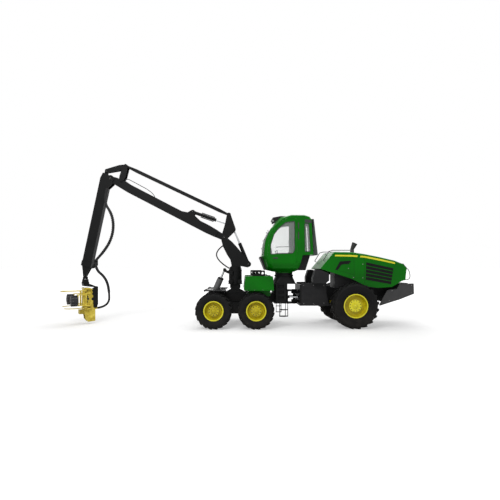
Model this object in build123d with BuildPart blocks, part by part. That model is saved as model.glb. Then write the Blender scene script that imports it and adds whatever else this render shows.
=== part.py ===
"""A six-wheeled forestry harvester: a bogie front frame with a tilting parallel crane and a
swivelling cab, hinged to a rear frame that carries the engine.

Millimetres. +Z is up, the front faces -X, and the machine's left side is -Y.
The origin is on the ground under the middle of the machine's length.
"""
import os
from math import cos, hypot, radians, sin, tan

from build123d import *

# Overall places
front_axle_x = 59.0
wheelbase = 4270.0
steer_x = front_axle_x + 2270.0
rear_axle_x = front_axle_x + wheelbase
seat_gap = 0.3
pin_gap = 0.5

# Wheels
bogie_spacing = 1500.0
front_wheel_radius = 645.0
front_wheel_width = 600.0
front_track = 2180.0
rear_wheel_radius = 815.0
rear_wheel_width = 600.0
rear_track = 2040.0
front_rim_radius = 350.0
rear_rim_radius = 425.0
rim_wall = 14.0
rim_seat_share = 0.36
hub_radius = 170.0
hub_bore_radius = 40.0
lug_height = 35.0
lug_width = 62.0
lug_count = 20
axle_stub_radius = 110.0
bogie_beam_inner_y = 620.0
bogie_beam_outer_y = 770.0

# Front frame
frame_half_width = 350.0
frame_tail_half_width = 190.0
frame_top_z = 1200.0
frame_bottom_z = 850.0
fork_inner_y = 215.0
fork_outer_y = 290.0
deck_z = 1330.0
deck_thickness = 25.0
deck_inner_y = 365.0
deck_half_width = 1150.0
deck_edge_radius = 32.0
tilt_pivot_z = 1265.0
tilt_pivot_radius = 60.0
tank_front_x = front_axle_x + 316.0
tank_rear_x = front_axle_x + 1390.0
tank_bottom_z = 1352.0
tank_top_z = 1868.0
tank_inner_y = 450.0
tank_outer_y = 1150.0

# Crane
boom_half_width = 100.0
jib_half_width = 130.0
jib_depth = 357.0
jib_wall = 12.0
extension_gap = 8.0
extension_wall = 12.0
column_half_width = 140.0
cheek = 35.0
rocker_half_width = 100.0
rocker_plate = 25.0
boom_foot_half_width = 70.0
strut_inner_y = 108.0
strut_plate = 24.0
link_inner_y = 48.0
link_plate = 24.0
pivot_pin_radius = 45.0
small_pin_radius = 35.0
slew_radius = 250.0
slew_top_z = 2085.0
slew_bottom_z = 1543.0

# Steering cylinders
steer_y = 280.0
steer_anchor_x = steer_x - 720.0
steer_ear_x = steer_x + 70.0
steer_ear_y = 330.0
steer_z = 1065.0
steer_pin_radius = 22.0


def at(x, z):
    """A point in the side view, measured back from the front axle."""
    return (front_axle_x + x, z)


# Crane pivots in the side view
boom_pivot = at(-442, 3331)
rocker_link_pin = at(-249, 4210)
rocker_lift_pin = at(-59, 3652)
rocker_fold_pin = at(-310, 3858)
lift_base_pin = at(502, 2306)
fold_base_pin = at(-1626, 4318)
jib_pivot = at(-4792, 5588)
strut_pivot = at(-4386, 5537)
link_knee_pin = at(-4211, 6094)
jib_top_pin = at(-4966, 5885)
tip_pin = at(-5802, 1880)
tilt_base_pin = at(-790, 1225)
tilt_top_pin = at(-415, 2100)

# Head, measured from the rotator's axis before it is turned
head_turn = 34.0
side_pin_drop = 100.0
rotator_radius = 118.0
rotator_bottom_z = 1605.0
hanger_pivot = (330.0, 690.0)
hanger_inner_y = 152.0
hanger_plate = 30.0
arm_pivot_x = -40.0
arm_pivot_y = 235.0
arm_pin_radius = 30.0
roller_x = -474.0
roller_y = 440.0
roller_z = 940.0
roller_radius = 205.0
roller_width = 220.0
roller_rib_count = 12
roller_shaft_radius = 40.0

# Cab
cab_axis_x = front_axle_x + 1873.0
cab_half_width = 750.0
cab_wall = 45.0
cab_ring_z = 1970.0
door_gap = 6.0
door_thickness = 40.0
glass_thickness = 6.0
glass_inset = 12.0
door_hinge = (cab_axis_x + 420.0, -765.0)
door_hinge_heights = (2350.0, 3500.0)
hinge_radius = 14.0

# Rear frame
rear_plate_half_width = 600.0
hood_half_width = 860.0
hood_pivot = at(6100, 1640)
hood_wall = 10.0


def slab(points, y_low, y_high, mode=Mode.ADD, radius=None):
    """A plate with a side-view outline, between two Y values, its corners rounded to a radius."""
    with BuildSketch(Plane.XZ.offset(-y_high)) as outline:
        with BuildLine():
            if radius is None:
                Polyline(*points, close=True)
            else:
                FilletPolyline(*points, radius=radius, close=True)
        make_face()
    extrude(outline.sketch, amount=y_high - y_low, mode=mode)


def round_bar(point, radius, y_low, y_high, mode=Mode.ADD):
    """A round bar or hole along Y at a side-view point."""
    with BuildSketch(Plane.XZ.offset(-y_high)) as outline:
        with Locations(point):
            Circle(radius)
    extrude(outline.sketch, amount=y_high - y_low, mode=mode)


def block(x_low, x_high, y_low, y_high, z_low, z_high, mode=Mode.ADD):
    """A box between two corners."""
    middle = ((x_low + x_high) / 2, (y_low + y_high) / 2, (z_low + z_high) / 2)
    with Locations(middle):
        Box(x_high - x_low, y_high - y_low, z_high - z_low, mode=mode)


def bar(start, end, radius, mode=Mode.ADD):
    """A round bar between two points in space."""
    start, end = Vector(*start), Vector(*end)
    with BuildSketch(Plane(origin=start, z_dir=end - start)) as outline:
        Circle(radius)
    extrude(outline.sketch, amount=(end - start).length, mode=mode)


def upright(x, y, radius, z_low, z_high, mode=Mode.ADD):
    """A round bar or hole along Z."""
    bar((x, y, z_low), (x, y, z_high), radius, mode)


def side(y_side, inner, outer):
    """The Y values between two distances from the middle plane, lower one first."""
    return sorted((y_side * inner, y_side * outer))


def length_between(start, end):
    """The distance between two side-view points."""
    return hypot(end[0] - start[0], end[1] - start[1])


def beside(start, end, along, aside=0.0):
    """The side-view point along a line and aside of it, to the left of its direction."""
    length = length_between(start, end)
    ux, uz = (end[0] - start[0]) / length, (end[1] - start[1]) / length
    return (start[0] + ux * along - uz * aside, start[1] + uz * along + ux * aside)


def cylinder_bar(start, end, y, along_low, along_high, radius, mode=Mode.ADD):
    """A round bar along a cylinder's line in the side view, at one Y."""
    low, high = beside(start, end, along_low), beside(start, end, along_high)
    bar((low[0], y, low[1]), (high[0], y, high[1]), radius, mode)


def grown(points, distance):
    """A side-view outline moved outward, or inward for a negative distance, by mitred corners."""
    pairs = list(zip(points, points[1:] + points[:1]))
    area = sum(a[0] * b[1] - b[0] * a[1] for a, b in pairs)
    turn = 1 if area > 0 else -1
    lines = []
    for a, b in pairs:
        length = length_between(a, b)
        nx, nz = turn * (b[1] - a[1]) / length, -turn * (b[0] - a[0]) / length
        lines.append((nx, nz, nx * a[0] + nz * a[1] + distance))
    corners = []
    for (a1, b1, c1), (a2, b2, c2) in zip(lines[-1:] + lines[:-1], lines):
        scale = a1 * b2 - a2 * b1
        corners.append(((c1 * b2 - c2 * b1) / scale, (a1 * c2 - a2 * c1) / scale))
    return corners


def named(name, y_side):
    """The name of a piece on the left, which is -Y, or on the right."""
    return f"{name}_{'left' if y_side < 0 else 'right'}"


os.makedirs("parts", exist_ok=True)


def save(builder, name, place=None):
    """Labels a finished piece and writes it, moved to its place where it has one."""
    piece = builder.part if place is None else builder.part.moved(place)
    piece.label = name
    export_step(piece, f"parts/{name}.step")


# Wheels: a tyre with lugs and a dished rim on each hub
def tyre(radius, width, rim_radius):
    """A tyre about the Y axis: a rounded section with blocks of tread standing out of it."""
    carcass = radius - lug_height
    seat = rim_radius + seat_gap
    half = width / 2
    bead_y, shoulder_y = half * 0.72, half * 0.84
    belly_z, flank_z = seat + (carcass - seat) * 0.35, seat + (carcass - seat) * 0.65
    shoulder_z = carcass - 18
    with BuildPart() as piece:
        with BuildSketch(Plane.YZ) as section:
            with BuildLine():
                Line((-bead_y, seat), (bead_y, seat))
                ThreePointArc((bead_y, seat), (half * 0.97, belly_z), (half, flank_z))
                ThreePointArc((half, flank_z), (half * 0.96, shoulder_z - 32), (shoulder_y, shoulder_z))
                ThreePointArc((shoulder_y, shoulder_z), (0, carcass), (-shoulder_y, shoulder_z))
                ThreePointArc((-shoulder_y, shoulder_z), (-half * 0.96, shoulder_z - 32), (-half, flank_z))
                ThreePointArc((-half, flank_z), (-half * 0.97, belly_z), (-bead_y, seat))
            make_face()
        revolve(axis=Axis.Y)
        for y_side in (-1, 1):
            for step in range(lug_count):
                turn = 360 / lug_count * (step + (0.25 if y_side > 0 else 0.75))
                outward = Location((0, 0, 0), (0, turn, 0))
                slant = (0, 0, y_side * 35)
                slanted = Location((0, y_side * half * 0.47, carcass + lug_height / 2 - 15), slant)
                with Locations(outward * slanted):
                    Box(lug_width, half * 0.92, lug_height + 30)
        with BuildSketch(Plane.XZ.offset(half)) as limit:
            Circle(radius)
        extrude(limit.sketch, amount=-width, mode=Mode.INTERSECT)
    return piece


def rim(radius, width, y_side):
    """A dished rim about the Y axis, its dish open to the outer side."""
    half = width * rim_seat_share
    lip_y = half + 12
    face_y, cap_y = half * 0.5, half * 0.62
    with BuildPart() as piece:
        with BuildSketch(Plane.YZ) as section:
            with BuildLine():
                Polyline(
                    (y_side * lip_y, radius - rim_wall * 2),
                    (y_side * lip_y, radius),
                    (-y_side * lip_y, radius),
                    (-y_side * lip_y, radius - rim_wall * 2),
                    (-y_side * half * 0.7, radius - rim_wall * 2),
                    (-y_side * half * 0.5, radius - rim_wall * 3),
                    (y_side * half * 0.1, radius - rim_wall * 3),
                    (y_side * half * 0.2, hub_radius + 20),
                    (y_side * face_y, hub_radius),
                    (y_side * face_y, hub_bore_radius),
                    (y_side * cap_y, hub_bore_radius),
                    (y_side * cap_y, hub_radius + 6),
                    (y_side * half * 0.32, hub_radius + 34),
                    (y_side * half * 0.24, radius - rim_wall * 5),
                    (y_side * half * 0.7, radius - rim_wall * 2),
                    close=True,
                )
            make_face()
        revolve(axis=Axis.Y)
    return piece


front_wheel = (front_wheel_radius, front_wheel_width, front_rim_radius)
rear_wheel = (rear_wheel_radius, rear_wheel_width, rear_rim_radius)
wheel_rows = (
    # name, x, track, (radius, width, rim radius)
    ("front", front_axle_x - bogie_spacing / 2, front_track, front_wheel),
    ("middle", front_axle_x + bogie_spacing / 2, front_track, front_wheel),
    ("rear", rear_axle_x, rear_track, rear_wheel),
)
for name, x, track, (radius, width, rim_radius) in wheel_rows:
    round_tyre = tyre(radius, width, rim_radius)
    for y_side in (-1, 1):
        place = Location((x, y_side * track / 2, radius))
        save(round_tyre, named(f"{name}_tyre", y_side), place)
        save(rim(rim_radius, width, y_side), named(f"{name}_rim", y_side), place)


def wheel_stub(point, inner_y, track, width, y_side):
    """The stub that carries a rim's inner face, and the spigot in the rim's bore."""
    face_y = track / 2 + width * rim_seat_share * 0.5 - seat_gap
    cap_y = track / 2 + width * rim_seat_share * 0.62
    round_bar(point, axle_stub_radius, *side(y_side, inner_y, face_y))
    round_bar(point, hub_bore_radius - seat_gap, *side(y_side, inner_y, cap_y))


# Bogie axle: a cross axle with a beam on each end, and hubs that carry the wheels
with BuildPart() as bogie_axle:
    round_bar(at(0, front_wheel_radius + 60), 130, -bogie_beam_inner_y, bogie_beam_inner_y)
    upright(front_axle_x, 0, 230, front_wheel_radius - 150, frame_bottom_z + 40 - seat_gap)
    beam_end = bogie_spacing / 2 + 170
    beam_shoulder = bogie_spacing / 2 + 60
    beam_outline = [
        at(-beam_end, front_wheel_radius - 60),
        at(-beam_end, front_wheel_radius + 60),
        at(-beam_shoulder, front_wheel_radius + 150),
        at(-260, front_wheel_radius + 250),
        at(260, front_wheel_radius + 250),
        at(beam_shoulder, front_wheel_radius + 150),
        at(beam_end, front_wheel_radius + 60),
        at(beam_end, front_wheel_radius - 60),
        at(beam_shoulder, front_wheel_radius - 150),
        at(-beam_shoulder, front_wheel_radius - 150),
    ]
    for y_side in (-1, 1):
        slab(beam_outline, *side(y_side, bogie_beam_inner_y, bogie_beam_outer_y), radius=45)
        disc = side(y_side, bogie_beam_outer_y, bogie_beam_outer_y + 12)
        round_bar(at(0, front_wheel_radius + 60), 160, *disc)
        for x in (-bogie_spacing / 2, bogie_spacing / 2):
            hub = at(x, front_wheel_radius)
            wheel_stub(hub, bogie_beam_outer_y, front_track, front_wheel_width, y_side)
save(bogie_axle, "bogie_axle")

# Front frame: a boxed frame with the crane's fork, the front deck and the steering lugs
with BuildPart() as front_frame:
    frame_outline = [
        at(-1050, 960),
        at(-1050, 1090),
        at(-640, 1110),
        at(-560, frame_top_z),
        at(1500, frame_top_z),
        at(1500, frame_bottom_z),
        at(1200, frame_bottom_z + 40),
        at(-700, frame_bottom_z + 40),
    ]
    slab(frame_outline, -frame_half_width, frame_half_width, radius=18)
    tail_outline = [
        at(1490, frame_top_z),
        at(1965, frame_top_z),
        at(2020, 1330),
        at(2020, 800),
        at(1490, 800),
    ]
    slab(tail_outline, -frame_tail_half_width, frame_tail_half_width)
    for y_side in (-1, 1):
        # Fork cheek of the crane's tilt pivot
        fork = side(y_side, fork_inner_y, fork_outer_y)
        fork_outline = [at(-480, frame_top_z - 20), at(-130, 1372), at(130, 1372), at(480, frame_top_z - 20)]
        slab(fork_outline, *fork, radius=15)
        round_bar(at(0, tilt_pivot_z), tilt_pivot_radius + pin_gap, *fork, mode=Mode.SUBTRACT)
        # Ears and pin of the tilt cylinder
        for inner, outer in ((170, 195), (325, 350)):
            ear_outline = [at(-930, 1080), at(-850, 1270), at(-730, 1270), at(-650, 1080)]
            slab(ear_outline, *side(y_side, inner, outer), radius=25)
        round_bar(tilt_base_pin, 28, *side(y_side, 170, 350))
        # Deck over the front wheel, with its round edge
        deck = side(y_side, deck_inner_y, deck_half_width)
        block(front_axle_x - 1060, front_axle_x - 330, *deck, deck_z, deck_z + deck_thickness)
        for x in (-1060, -890, -720, -550):
            tread_z = deck_z + deck_thickness
            block(front_axle_x + x, front_axle_x + x + 18, *deck, tread_z, tread_z + 12)
        edge_z = deck_z + deck_thickness - 5
        edge_x = front_axle_x - 1080
        bar((edge_x, deck[0], edge_z), (edge_x, deck[1], edge_z), deck_edge_radius)
        carrier = side(y_side, frame_half_width, 600)
        block(front_axle_x - 560, front_axle_x - 400, *carrier, 1080, deck_z)
        # Steering anchor lugs with their pin
        for z_low in (steer_z - 62, steer_z + 36):
            lug = side(y_side, steer_y - 60, steer_y + 60)
            block(front_axle_x + 1490, steer_anchor_x, *lug, z_low, z_low + 26)
            upright(steer_anchor_x, y_side * steer_y, 60, z_low, z_low + 26)
        upright(steer_anchor_x, y_side * steer_y, steer_pin_radius, steer_z - 62, steer_z + 62)
    # Lugs and pin of the steering joint
    for z_low in (800, 1270):
        with BuildSketch(Plane.XY.offset(z_low)) as lug:
            with BuildLine():
                Polyline(
                    (front_axle_x + 1980, -260),
                    (steer_x, -120),
                    (steer_x, 120),
                    (front_axle_x + 1980, 260),
                    close=True,
                )
            make_face()
            with Locations((steer_x, 0)):
                Circle(120)
        extrude(lug.sketch, amount=60)
    upright(steer_x, 0, 50, 800, 1330)
    upright(steer_x, 0, 78, 786, 800)
    upright(steer_x, 0, 78, 1330, 1344)
save(front_frame, "front_frame")

# Side tanks over the middle wheels, each with a plate with three holes on top
with BuildPart() as side_tanks:
    tank_outline = [
        (tank_front_x, tank_bottom_z),
        (tank_front_x + 60, tank_top_z),
        (tank_rear_x - 35, tank_top_z),
        (tank_rear_x, tank_bottom_z),
    ]
    for y_side in (-1, 1):
        slab(tank_outline, *side(y_side, tank_inner_y, tank_outer_y), radius=40)
        carrier = side(y_side, frame_half_width, tank_inner_y + 200)
        block(front_axle_x + 500, front_axle_x + 1300, *carrier, 1120, tank_bottom_z + 40)
        plate = side(y_side, tank_outer_y - 150, tank_outer_y - 130)
        plate_outline = [at(612, tank_top_z - 5), at(612, 2074), at(1078, 2074), at(1078, tank_top_z - 5)]
        slab(plate_outline, *plate, radius=30)
        for x in (700, 845, 990):
            round_bar(at(x, 1975), 42, *plate, mode=Mode.SUBTRACT)
        # Latch of the filler lid
        latch = side(y_side, tank_outer_y - 5, tank_outer_y + 14)
        block(front_axle_x + 1160, front_axle_x + 1300, *latch, 1720, 1800)
save(side_tanks, "side_tanks")

# Cab pedestal with the slewing ring of the cab and the steps
with BuildPart() as cab_pedestal:
    foot_top_z = 1560
    foot_low_x, foot_high_x = front_axle_x + 1440, front_axle_x + 1960
    block(foot_low_x, foot_high_x, -420, 420, frame_top_z + seat_gap, foot_top_z)
    with BuildSketch(Plane.XY.offset(foot_top_z)) as lower:
        with Locations((cab_axis_x, 0)):
            RectangleRounded(840, 840, 120)
    with BuildSketch(Plane.XY.offset(1840)) as upper:
        with Locations((cab_axis_x, 0)):
            RectangleRounded(640, 640, 200)
    loft(sections=[lower.sketch, upper.sketch])
    upright(cab_axis_x, 0, 360, 1840, 1900)
    upright(cab_axis_x, 0, 330, 1900, cab_ring_z)
    # Step box and ladder beside the foot
    for y_side in (-1, 1):
        box_side = side(y_side, 419, 700)
        step_box = [at(1500, 860), at(1500, 1590), at(1860, 1590), at(1880, 1100), at(1840, 860)]
        slab(step_box, *box_side, radius=30)
        for z in (1000, 1210, 1420):
            slot = side(y_side, 640, 705)
            block(front_axle_x + 1570, front_axle_x + 1800, *slot, z, z + 120, Mode.SUBTRACT)
        for x in (1650, 1850):
            rail_y = y_side * 680
            bar((front_axle_x + x, rail_y, 870), (front_axle_x + x, rail_y, 380), 12)
        for z in (620, 380):
            block(front_axle_x + 1638, front_axle_x + 1862, *side(y_side, 640, 720), z - 12, z + 12)
save(cab_pedestal, "cab_pedestal")

# Crane base: tilts on the fork and houses the slewing gear
tilt_rod_y = 260.0
tilt_ear_inner_y = 195.0
tilt_ear_outer_y = 325.0
tilt_ear_plate = 20.0
with BuildPart() as crane_base:
    upright(front_axle_x, 0, slew_radius, slew_bottom_z, slew_top_z)
    upright(front_axle_x, 0, slew_radius + 22, slew_bottom_z, slew_bottom_z + 40)
    upright(front_axle_x, 0, slew_radius + 14, slew_top_z - 36, slew_top_z)
    neck_outline = [
        at(-60, tilt_pivot_z),
        at(-200, tilt_pivot_z + 150),
        at(-200, slew_bottom_z + 40),
        at(200, slew_bottom_z + 40),
        at(200, tilt_pivot_z + 150),
        at(60, tilt_pivot_z),
    ]
    slab(neck_outline, -fork_inner_y + 10, fork_inner_y - 10)
    round_bar(at(0, tilt_pivot_z), tilt_pivot_radius, -fork_outer_y - 40, fork_outer_y + 40)
    # Slewing cylinders across the housing, with their caps
    for x in (-175, 175):
        rack_y = 380
        bar((front_axle_x + x, -rack_y, 1650), (front_axle_x + x, rack_y, 1650), 75)
        for y_low in (-rack_y - 30, rack_y - 10):
            round_bar(at(x, 1650), 84, y_low, y_low + 40)
    # Brackets of the tilt cylinders
    block(front_axle_x - 200, front_axle_x - 90, -tilt_ear_outer_y, tilt_ear_outer_y, 1900, 2050)
    bracket_outline = [
        at(-100, 1900),
        at(-100, 2050),
        at(-330, 2060),
        at(-390, 2150),
        at(-440, 2150),
        at(-465, 2070),
        at(-430, 2030),
        at(-300, 1960),
    ]
    for y_side in (-1, 1):
        slab(bracket_outline, *side(y_side, tilt_ear_inner_y - tilt_ear_plate, tilt_ear_inner_y))
        slab(bracket_outline, *side(y_side, tilt_ear_outer_y, tilt_ear_outer_y + tilt_ear_plate))
save(crane_base, "crane_base")

# Tilt cylinders: bored barrels on the frame's pins, with rods that carry the crane base
tilt_length = length_between(tilt_base_pin, tilt_top_pin)
tilt_barrel_end = 600.0
tilt_rod_radius = 32.0
with BuildPart() as tilt_barrels:
    for y_side in (-1, 1):
        y = y_side * tilt_rod_y
        cylinder_bar(tilt_base_pin, tilt_top_pin, y, 20, tilt_barrel_end, 58)
        round_bar(tilt_base_pin, 52, *side(y_side, tilt_ear_inner_y + pin_gap, tilt_ear_outer_y - pin_gap))
        cylinder_bar(
            tilt_base_pin, tilt_top_pin, y, 64, tilt_barrel_end + 1, tilt_rod_radius + pin_gap, Mode.SUBTRACT
        )
        round_bar(tilt_base_pin, 28 + pin_gap, *side(y_side, 170, 350), mode=Mode.SUBTRACT)
save(tilt_barrels, "tilt_barrels")

with BuildPart() as tilt_rods:
    for y_side in (-1, 1):
        cylinder_bar(tilt_base_pin, tilt_top_pin, y_side * tilt_rod_y, 340, tilt_length, tilt_rod_radius)
        round_bar(tilt_top_pin, 44, *side(y_side, tilt_ear_inner_y + pin_gap, tilt_ear_outer_y - pin_gap))
save(tilt_rods, "tilt_rods")

# Crane column: turns on the slewing gear, with an ear for the lift cylinder at its rear
with BuildPart() as crane_column:
    upright(front_axle_x, 0, slew_radius - 8, slew_top_z + seat_gap, slew_top_z + 60)
    upright(front_axle_x, 0, slew_radius - 30, slew_top_z + 60, slew_top_z + 120)
    column_outline = [
        at(-200, slew_top_z + 60),
        at(-144, 2255),
        at(-191, 2476),
        at(-322, 2677),
        at(-477, 2987),
        at(-560, 3331),
        at(-442, 3450),
        at(-322, 3331),
        at(-102, 3146),
        at(77, 2944),
        at(587, 2360),
        at(560, 2215),
        at(470, 2180),
        at(210, 2232),
        at(200, slew_top_z + 60),
    ]
    slab(column_outline, -column_half_width, column_half_width, radius=22)
    round_bar(boom_pivot, 125, -column_half_width, column_half_width)
    round_bar(lift_base_pin, 105, -column_half_width, column_half_width)
    slot = column_half_width - cheek
    slab([at(-900, 3165), at(-900, 3600), at(300, 3600), at(300, 3165)], -slot, slot, Mode.SUBTRACT)
    lift_slot = [at(355, 2100), at(330, 2430), at(160, 2870), at(800, 2870), at(800, 2100)]
    slab(lift_slot, -80, 80, Mode.SUBTRACT)
    round_bar(boom_pivot, pivot_pin_radius, -column_half_width - 15, column_half_width + 15)
    round_bar(lift_base_pin, small_pin_radius, -column_half_width - 12, column_half_width + 12)
save(crane_column, "crane_column")

# Lift cylinder
lift_length = length_between(lift_base_pin, rocker_lift_pin)
lift_barrel_end = 883.0
with BuildPart() as lift_barrel:
    cylinder_bar(lift_base_pin, rocker_lift_pin, 0, 60, lift_barrel_end, 68)
    round_bar(lift_base_pin, 72, -70, 70)
    cylinder_bar(lift_base_pin, rocker_lift_pin, 0, 250, lift_barrel_end + 1, 36 + pin_gap, Mode.SUBTRACT)
    round_bar(lift_base_pin, small_pin_radius + pin_gap, -70, 70, Mode.SUBTRACT)
save(lift_barrel, "lift_barrel")

with BuildPart() as lift_rod:
    cylinder_bar(lift_base_pin, rocker_lift_pin, 0, 633, lift_length - 30, 36)
    eye_half_width = rocker_half_width - rocker_plate - pin_gap
    round_bar(rocker_lift_pin, 62, -eye_half_width, eye_half_width)
save(lift_rod, "lift_rod")

# Rocker arm: two plates from the common pivot up to the link bar
with BuildPart() as rocker_arm:
    rocker_outline = [
        at(-535, 3390),
        at(-400, 3240),
        at(-330, 3270),
        at(5, 3600),
        at(5, 3700),
        at(-172, 4210),
        at(-249, 4285),
        at(-326, 4210),
        at(-395, 3860),
    ]
    for y_side in (-1, 1):
        plate = side(y_side, rocker_half_width - rocker_plate, rocker_half_width)
        slab(rocker_outline, *plate, radius=20)
        round_bar(boom_pivot, 110, *plate)
        round_bar(rocker_link_pin, 80, *plate)
        round_bar(rocker_lift_pin, 75, *plate)
        for pin in (rocker_link_pin, rocker_lift_pin, rocker_fold_pin):
            round_bar(pin, 48, *side(y_side, rocker_half_width, rocker_half_width + 14))
    round_bar(boom_pivot, pivot_pin_radius + pin_gap, -rocker_half_width, rocker_half_width, Mode.SUBTRACT)
    round_bar(rocker_link_pin, small_pin_radius, -rocker_half_width, rocker_half_width)
    round_bar(at(-228, 4040), 40, -rocker_half_width + 5, rocker_half_width - 5)
    round_bar(at(-300, 3560), 50, -rocker_half_width + 5, rocker_half_width - 5)
save(rocker_arm, "rocker_arm")

# Main boom: a box that tapers to the jib's pivot, with a hump for the fold cylinder
boom_length = length_between(boom_pivot, jib_pivot)


def on_boom(along, above):
    """A side-view point measured along the boom and above its axis."""
    return beside(boom_pivot, jib_pivot, along, -above)


with BuildPart() as main_boom:
    boom_outline = [
        on_boom(300, -135),
        on_boom(700, -160),
        on_boom(4150, -157),
        on_boom(boom_length, -105),
        on_boom(boom_length, 105),
        on_boom(4700, 150),
        on_boom(4300, 185),
        on_boom(4100, 157),
        on_boom(1900, 157),
        on_boom(1600, 246),
        on_boom(1505, 262),
        on_boom(1410, 246),
        on_boom(1100, 157),
        on_boom(700, 160),
        on_boom(300, 135),
    ]
    slab(boom_outline, -boom_half_width, boom_half_width, radius=30)
    foot_outline = [on_boom(0, -108), on_boom(340, -135), on_boom(340, 135), on_boom(0, 108)]
    slab(foot_outline, -boom_foot_half_width, boom_foot_half_width)
    round_bar(boom_pivot, 108, -boom_foot_half_width, boom_foot_half_width)
    foot_bore_radius = pivot_pin_radius + pin_gap
    round_bar(boom_pivot, foot_bore_radius, -boom_foot_half_width, boom_foot_half_width, Mode.SUBTRACT)
    round_bar(jib_pivot, 105, -boom_half_width, boom_half_width)
    round_bar(jib_pivot, pivot_pin_radius + pin_gap, -boom_half_width, boom_half_width, Mode.SUBTRACT)
    round_bar(strut_pivot, small_pin_radius + pin_gap, -boom_half_width, boom_half_width, Mode.SUBTRACT)
    # Ears of the fold cylinder on the hump
    ear_outline = [on_boom(1380, 200), on_boom(1430, 380), on_boom(1580, 380), on_boom(1700, 190)]
    for y_side in (-1, 1):
        ear = side(y_side, boom_half_width - 25, boom_half_width)
        slab(ear_outline, *ear, radius=20)
        round_bar(fold_base_pin, 78, *ear)
    round_bar(fold_base_pin, small_pin_radius, -boom_half_width - 12, boom_half_width + 12)
save(main_boom, "main_boom")

# Fold cylinder
fold_length = length_between(fold_base_pin, rocker_fold_pin)
fold_barrel_end = 940.0
with BuildPart() as fold_barrel:
    cylinder_bar(fold_base_pin, rocker_fold_pin, 0, 50, fold_barrel_end, 62)
    round_bar(fold_base_pin, 66, -68, 68)
    cylinder_bar(fold_base_pin, rocker_fold_pin, 0, 480, fold_barrel_end + 1, 34 + pin_gap, Mode.SUBTRACT)
    round_bar(fold_base_pin, small_pin_radius + pin_gap, -68, 68, Mode.SUBTRACT)
save(fold_barrel, "fold_barrel")

with BuildPart() as fold_rod:
    cylinder_bar(fold_base_pin, rocker_fold_pin, 0, 610, fold_length - 30, 34)
    round_bar(rocker_fold_pin, 56, -eye_half_width, eye_half_width)
save(fold_rod, "fold_rod")

# Link bar above the boom
link_length = length_between(rocker_link_pin, link_knee_pin)
with BuildPart() as link_bar:
    cylinder_bar(rocker_link_pin, link_knee_pin, 0, 60, link_length - 60, 44)
    round_bar(rocker_link_pin, 68, -60, 60)
    round_bar(rocker_link_pin, small_pin_radius + pin_gap, -60, 60, Mode.SUBTRACT)
    round_bar(link_knee_pin, 62, -38, 38)
    round_bar(link_knee_pin, 40, -link_inner_y + pin_gap, link_inner_y - pin_gap)
save(link_bar, "link_bar")

# Knee: struts on the boom and links to the jib's head
strut_length = length_between(strut_pivot, link_knee_pin)
with BuildPart() as knee_strut:
    strut_outline = [
        beside(strut_pivot, link_knee_pin, 0, 75),
        beside(strut_pivot, link_knee_pin, strut_length, 55),
        beside(strut_pivot, link_knee_pin, strut_length, -55),
        beside(strut_pivot, link_knee_pin, 0, -75),
    ]
    strut_outer_y = strut_inner_y + strut_plate
    for y_side in (-1, 1):
        plate = side(y_side, strut_inner_y, strut_outer_y)
        slab(strut_outline, *plate)
        round_bar(strut_pivot, 75, *plate)
        round_bar(link_knee_pin, 55, *plate)
        round_bar(link_knee_pin, 40, *side(y_side, link_inner_y + link_plate + pin_gap, strut_inner_y))
        for pin in (strut_pivot, link_knee_pin):
            round_bar(pin, 45, *side(y_side, strut_outer_y, strut_outer_y + 14))
    round_bar(strut_pivot, small_pin_radius, -strut_outer_y, strut_outer_y)
save(knee_strut, "knee_strut")

knee_length = length_between(link_knee_pin, jib_top_pin)
with BuildPart() as knee_link:
    link_outline = [
        beside(link_knee_pin, jib_top_pin, 0, 58),
        beside(link_knee_pin, jib_top_pin, knee_length, 58),
        beside(link_knee_pin, jib_top_pin, knee_length, -58),
        beside(link_knee_pin, jib_top_pin, 0, -58),
    ]
    link_outer_y = link_inner_y + link_plate
    for y_side in (-1, 1):
        plate = side(y_side, link_inner_y, link_outer_y)
        slab(link_outline, *plate)
        round_bar(link_knee_pin, 58, *plate)
        round_bar(jib_top_pin, 58, *plate)
        round_bar(jib_top_pin, 42, *side(y_side, link_outer_y, link_outer_y + 12))
    round_bar(jib_top_pin, small_pin_radius, -link_outer_y, link_outer_y)
save(knee_link, "knee_link")

# Jib: a box that hangs from the boom's end, open below for the extension
jib_axis_top = at(-5004, 5588)
jib_axis_end = at(-5674, 2472)
jib_box_start = 330.0
jib_box_end = 3439.0
jib_collar = 15.0
jib_inner_half = jib_depth / 2 - jib_wall
jib_inner_side = jib_half_width - jib_wall
pad = extension_gap - seat_gap


def on_jib(along, inward):
    """A side-view point measured down the jib's axis and toward the machine."""
    return beside(jib_axis_top, jib_axis_end, along, inward)


def along_jib(start, end, low, high):
    """A side-view rectangle along the jib."""
    return [on_jib(start, low), on_jib(end, low), on_jib(end, high), on_jib(start, high)]


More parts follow.
